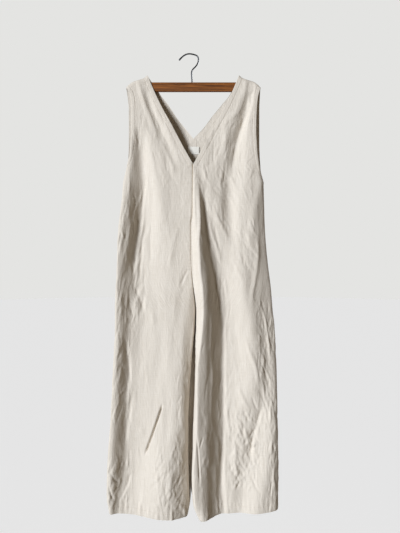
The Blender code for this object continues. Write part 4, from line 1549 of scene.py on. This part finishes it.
@dataclass
class NeckLabel:
    """The bare woven label, sewn inside the back just below its V."""

    form: Form
    width: float = 38.0
    height: float = 26.0
    top_z: float = -301.0
    off_cloth: float = 3.0  # from the back's outer side to the tape
    thick: float = 0.5
    columns: int = 38
    rows: int = 26
    full_drop: float = 200.0  # far enough below the shoulder for its turn to have ended
    sag: float = 0.3  # how far its middle stands off the back
    # how that wavers: size, pitch, start and seed
    bow: tuple[float, float, float, int] = (0.35, 14.0, 3.0, 51)
    selvedge: tuple[float, float] = (0.15, 0.8)  # height and width of its woven edges
    drawn: tuple[float, float, int] = (0.25, 6.0, 52)  # its ends' wave: size, pitch and seed
    sewn_columns: tuple[int, int] = (2, -3)
    lines: list[tuple[Array, Array]] = field(default_factory=list)

    def build(self, tape: bpy.types.Material) -> bpy.types.Object:
        """Build the tape as a thin wall that follows the back and bows where it is sewn down.

        Args:
            tape: The tape's material.

        Returns:
            The label's object.
        """
        across = np.linspace(-self.width / 2, self.width / 2, self.columns + 1)
        down = np.linspace(0.0, self.height, self.rows + 1)
        x, drop = np.meshgrid(across, down)
        z = self.top_z - drop
        share = np.abs(x) / self.form.edge_x(Face.BACK, Side.RIGHT, z)
        y = self.form.depth(Face.BACK, Side.RIGHT, share, x, z, np.full_like(z, self.full_drop))
        free = np.cos(math.pi * x / self.width)
        size, pitch, start, seed = self.bow
        bow = size * free * ripple(drop.ravel() + start, pitch, seed).reshape(z.shape)
        size, wide = self.selvedge
        selvedge = size * np.exp(-(((self.width / 2 - np.abs(x)) / wide) ** 2))
        y = y - self.off_cloth - self.sag * free - bow
        size, pitch, seed = self.drawn
        drawn_x = x + size * ripple(drop.ravel(), pitch, seed).reshape(z.shape) * (1.0 - free)
        near = np.stack([drawn_x, y - self.thick - selvedge, z], axis=2)
        far = np.stack([drawn_x, y, z], axis=2)
        flat = np.stack([x, z], axis=2)
        for k in self.sewn_columns:
            edge = near[1:-1, k]
            self.lines.append((edge, np.broadcast_to((0.0, -1.0, 0.0), edge.shape)))
        return shell("neck_label_tape", near, far, flat, tape, True)


@dataclass
class Garment:
    """The jumpsuit: four panels, their topstitching and the neck label."""

    form: Form = field(default_factory=Form)
    linen: Linen = Linen()
    thread: Thread = Thread()
    tape: LabelTape = LabelTape()
    topstitch: Stitching = Stitching()
    label_stitch: Stitching = Stitching(1.6, 2.1, 0.2)
    cut: tuple[float, float] = (0.33, 1.46)  # a panel's cut width and length in metres

    def build(self) -> None:
        """Build every piece of the garment."""
        cloth = self.linen.dress("washed_linen")
        sewn = self.thread.dress("linen_thread")
        for face in Face:
            for side in Side:
                self.add_panel(face, side, cloth, sewn)
        self.add_label(sewn)

    def add_panel(
        self, face: Face, side: Side, cloth: bpy.types.Material, sewn: bpy.types.Material
    ) -> None:
        """Add one panel and its topstitching.

        Args:
            face: Which face the panel is on.
            side: Which side it is on.
            cloth: The linen.
            sewn: The thread.
        """
        creases = FRONT_CREASES if face is Face.FRONT else BACK_CREASES
        crumples = FRONT_CRUMPLES if face is Face.FRONT else BACK_CRUMPLES
        panel = Panel(self.form, face, side, creases, crumples)
        made = panel.build(cloth)
        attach(made, BODY)
        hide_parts(panel.name)
        stitches = self.topstitch.sew(panel.name + "_topstitching", panel.sewing_lines(), sewn)
        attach(stitches, BODY)
        report(made)
        report(stitches)

    def add_label(self, sewn: bpy.types.Material) -> None:
        """Add the neck label and the stitches that hold its two ends.

        Args:
            sewn: The thread.
        """
        label = NeckLabel(self.form)
        made = label.build(self.tape.dress("label_tape"))
        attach(made, BODY)
        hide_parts("neck_label")
        stitches = self.label_stitch.sew("neck_label_stitches", label.lines, sewn)
        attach(stitches, BODY)
        report(made)
        report(stitches)


# ---------------------------------------------------------------- the hanger


@dataclass
class Hanger:
    """The bar hanger: a stained wooden bar and a hook bent from plated wire."""

    squareness: float = 3.4  # of the bar's section: 2 would be an oval
    bar_sides: int = 64
    bar_sharp: float = 40.0  # the angle in degrees past which its edges stay sharp
    end_round: float = 3.2
    end_rows: tuple[float, ...] = (0.0, 0.25, 0.8, 1.8, 3.2)  # from the end, over its rounding
    middle_rows: int = 40
    middle_from: float = 6.0  # from the end
    wire_radius: float = 2.3
    tip_swell: float = 1.25  # how many times thicker the tip is
    swell_over: float = 15.0  # the distance from the tip over which it thickens
    curl_x: float = -20.0  # the tip's stretch of wire lies to the left of this
    dome_deg: tuple[float, float, int] = (15.0, 88.0, 6)  # first, last and count of its rings
    route: Knots = (  # x and z of the wire, from inside the bar to the tip
        (-4.2, -106.0), (-4.2, -90.0), (-5.4, -70.0), (-6.2, -56.0), (-1.5, -46.5),
        (7.0, -39.0), (14.0, -29.5), (17.6, -17.0), (15.6, -6.0), (9.0, -0.4), (0.0, 2.0),
        (-12.0, 4.4), (-24.0, 2.4), (-35.0, -4.4), (-45.5, -15.5),
    )
    sides: int = 24
    roundings: int = 4  # how often the route's corners are cut to round it
    wood: StainedWood = StainedWood()
    wire: PlatedWire = PlatedWire()

    def build(self) -> None:
        """Shape the bar and bend the hook."""
        bar = self.shape_bar(self.wood.dress("stained_softwood"))
        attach(bar, BODY)
        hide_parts("hanger_bar")
        report(bar)
        hook = self.bend_wire(self.wire.dress("plated_steel_wire"))
        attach(hook, BODY)
        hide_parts("hanger_hook")
        report(hook)

    def shape_bar(self, finish: bpy.types.Material) -> bpy.types.Object:
        """Shape the bar: full faces, well rounded edges and slightly rounded ends.

        Args:
            finish: The wood's material.

        Returns:
            The bar's object.
        """
        low, high = (np.array(corner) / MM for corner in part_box("hanger_bar"))
        middle, half = (low + high) / 2, (high - low) / 2
        nearness, count = np.array(self.end_rows), self.middle_rows
        inset = self.end_round - np.sqrt(self.end_round**2 - (self.end_round - nearness) ** 2)
        inset = np.concatenate([inset, np.zeros(count), inset[::-1]])
        body = np.linspace(self.middle_from, 2 * half[0] - self.middle_from, count)
        xs = np.concatenate([nearness, body, 2 * half[0] - nearness[::-1]]) + low[0]
        turn = np.arange(self.bar_sides) * 2 * math.pi / self.bar_sides
        shape = [np.sign(w) * np.abs(w) ** (2 / self.squareness) for w in (np.cos(turn), np.sin(turn))]
        y = middle[1] + (half[1] - inset)[:, None] * shape[0]
        z = middle[2] + (half[2] - inset)[:, None] * shape[1]
        points = np.stack([np.broadcast_to(xs[:, None], y.shape), y, z], axis=2)
        faces = tube_faces(*y.shape)
        return make_piece("shaped_bar", points.reshape(-1, 3), faces, finish, self.bar_sharp)

    def bend_wire(self, finish: bpy.types.Material) -> bpy.types.Object:
        """Bend the round wire along its route, with a rounded and slightly thicker tip.

        Args:
            finish: The wire's material.

        Returns:
            The hook's object.
        """
        line = np.array([(x, 0.0, z) for x, z in self.route])
        for _ in range(self.roundings):
            cut = np.stack([0.75 * line[:-1] + 0.25 * line[1:], 0.25 * line[:-1] + 0.75 * line[1:]], 1)
            line = np.concatenate([line[:1], cut.reshape(-1, 3)[1:-1], line[-1:]])
        to_tip = np.linalg.norm(line - line[-1], axis=1)
        near_tip = ease(1.0 - to_tip / self.swell_over) * (line[:, 0] < self.curl_x)
        radius = self.wire_radius * (1.0 + (self.tip_swell - 1.0) * near_tip)
        ahead = unit(np.gradient(line, axis=0))
        dome = np.radians(np.linspace(*self.dome_deg))
        tip = line[-1] + np.sin(dome)[:, None] * radius[-1] * ahead[-1]
        line = np.concatenate([line, tip])
        radius = np.concatenate([radius, np.cos(dome) * radius[-1]])
        ahead = np.concatenate([ahead, np.repeat(ahead[-1:], len(dome), axis=0)])
        aside = np.cross((0.0, 1.0, 0.0), ahead)
        turn = np.arange(self.sides) * 2 * math.pi / self.sides
        ring = np.cos(turn)[:, None] * aside[:, None] + np.sin(turn)[:, None] * (0.0, 1.0, 0.0)
        points = line[:, None] + radius[:, None, None] * ring
        faces = tube_faces(len(line), self.sides)
        return make_piece("hook_wire", points.reshape(-1, 3), faces, finish)


# ---------------------------------------------------------------- the studio


@dataclass(frozen=True)
class Studio:
    """A pale floor, soft light from the left and the camera."""

    camera_at: tuple[float, float, float] = (0.022, -1.6, -0.698)
    lens_mm: float = 32.74
    floor_z: float = -2.3
    key_strength: float = 4.35
    key_from: tuple[float, float, float] = (-0.69, -0.72, 0.14)
    key_angle: float = 18.0
    rim_strength: float = 3.6
    rim_from: tuple[float, float, float] = (0.6, 0.76, 0.22)
    rim_angle: float = 30.0
    sun_tint: tuple[float, float, float] = (0.94, 1.0, 1.09)
    room_tint: tuple[float, float, float, float] = (1.0, 0.82, 0.6, 1.0)
    room_strength: float = 0.15
    floor_colour: str = "#e7e7e6"
    floor_glow: float = 0.325
    floor_rings_m: tuple[float, float, float] = (0.4, 4.0, 24.0)
    floor_sides: int = 96
    backdrop_colour: str = "#e4e4e2"
    backdrop_m: float = 25.0
    backdrop_sides: int = 64
    backdrop_deg: tuple[float, float, int] = (-30.0, 88.0, 30)  # lowest, highest, count of rings
    sensor_mm: float = 36.0
    sight_m: float = 100.0

    def build(self) -> None:
        """Set up the camera, lights, floor and backdrop."""
        scene = bpy.context.scene
        scene.view_settings.view_transform = "Standard"
        camera = bpy.data.cameras.new("camera")
        camera.lens, camera.sensor_width = self.lens_mm, self.sensor_mm
        camera.clip_end = self.sight_m
        stand = bpy.data.objects.new("camera", camera)
        stand.location = self.camera_at
        stand.rotation_euler = (math.radians(90.0), 0.0, 0.0)
        scene.collection.objects.link(stand)
        scene.camera = stand
        self.add_sun("key_light", self.key_strength, self.key_from, self.key_angle)
        self.add_sun("rim_light", self.rim_strength, self.rim_from, self.rim_angle)
        self.add_world()
        self.add_floor()
        self.add_backdrop()

    def add_sun(self, name: str, strength: float, source: tuple[float, ...], angle: float) -> None:
        """Add a broad even light that comes from a direction.

        Args:
            name: The light's name.
            strength: Its strength.
            source: The direction towards it.
            angle: How wide it looks, in degrees.
        """
        light = bpy.data.lights.new(name, "SUN")
        light.energy, light.angle = strength, math.radians(angle)
        light.color = self.sun_tint
        made = bpy.data.objects.new(name, light)
        made.rotation_euler = Vector(source).to_track_quat("Z", "Y").to_euler()
        bpy.context.scene.collection.objects.link(made)

    def add_world(self) -> None:
        """Fill the room with a dim even light."""
        world = bpy.data.worlds.new("room")
        bpy.context.scene.world = world
        world.use_nodes = True
        background = world.node_tree.nodes["Background"]
        background.inputs["Color"].default_value = self.room_tint
        background.inputs["Strength"].default_value = self.room_strength

    def add_floor(self) -> None:
        """Lay a plain pale floor."""
        made, tree, shader = blank("pale_floor")
        values = {
            "Base Color": linear(self.floor_colour),
            "Roughness": 0.9,
            "Specular IOR Level": 0.0,
            "Emission Color": linear("#ffffff"),
            "Emission Strength": self.floor_glow,
        }
        set_shader(tree, shader, values, {})
        sides = self.floor_sides
        angles = np.linspace(0.0, 2 * math.pi, sides, endpoint=False)
        ring = np.stack([np.cos(angles), np.sin(angles), np.zeros(sides)], axis=1) * PER_METRE
        rings = [ring * r + (0.0, 0.0, self.floor_z * PER_METRE) for r in self.floor_rings_m]
        index = np.arange(sides)
        faces = [index[None, :]]
        for k in range(len(rings) - 1):
            a, b = index + sides * k, np.roll(index, -1) + sides * k
            faces.append(np.stack([a, a + sides, b + sides, b], axis=1))
        floor = make_piece("floor", np.concatenate(rings), faces, made)
        floor.visible_diffuse = False

    def add_backdrop(self) -> None:
        """Hang an even pale backdrop all round, which only the camera sees."""
        made, tree, _ = blank("pale_backdrop")
        glow = add_node(
            tree, "ShaderNodeEmission", {"Color": linear(self.backdrop_colour), "Strength": 1.0}
        ).outputs[0]
        tree.links.new(glow, tree.nodes["Material Output"].inputs["Surface"])
        angles = np.linspace(0.0, 2 * math.pi, self.backdrop_sides, endpoint=False)
        rises = np.radians(np.linspace(*self.backdrop_deg))
        points = np.array([
            [math.cos(a) * math.cos(e), math.sin(a) * math.cos(e), math.sin(e)]
            for e in rises for a in angles
        ]) * (self.backdrop_m * PER_METRE)
        index = np.arange(len(points)).reshape(len(rises), self.backdrop_sides)
        turned = np.roll(index, -1, axis=1)
        quads = np.stack([c.ravel() for c in (index[:-1], index[1:], turned[1:], turned[:-1])], axis=1)
        dome = make_piece("backdrop", points, [quads, index[-1][None, ::-1]], made)
        dome.visible_diffuse = dome.visible_glossy = dome.visible_shadow = False
        dome.visible_transmission = dome.visible_volume_scatter = False


def main() -> None:
    """Build the pieces in order."""
    logging.basicConfig(level=logging.INFO, format="%(message)s")
    Studio().build()
    Hanger().build()
    Garment().build()


if __name__ == "__main__":
    main()
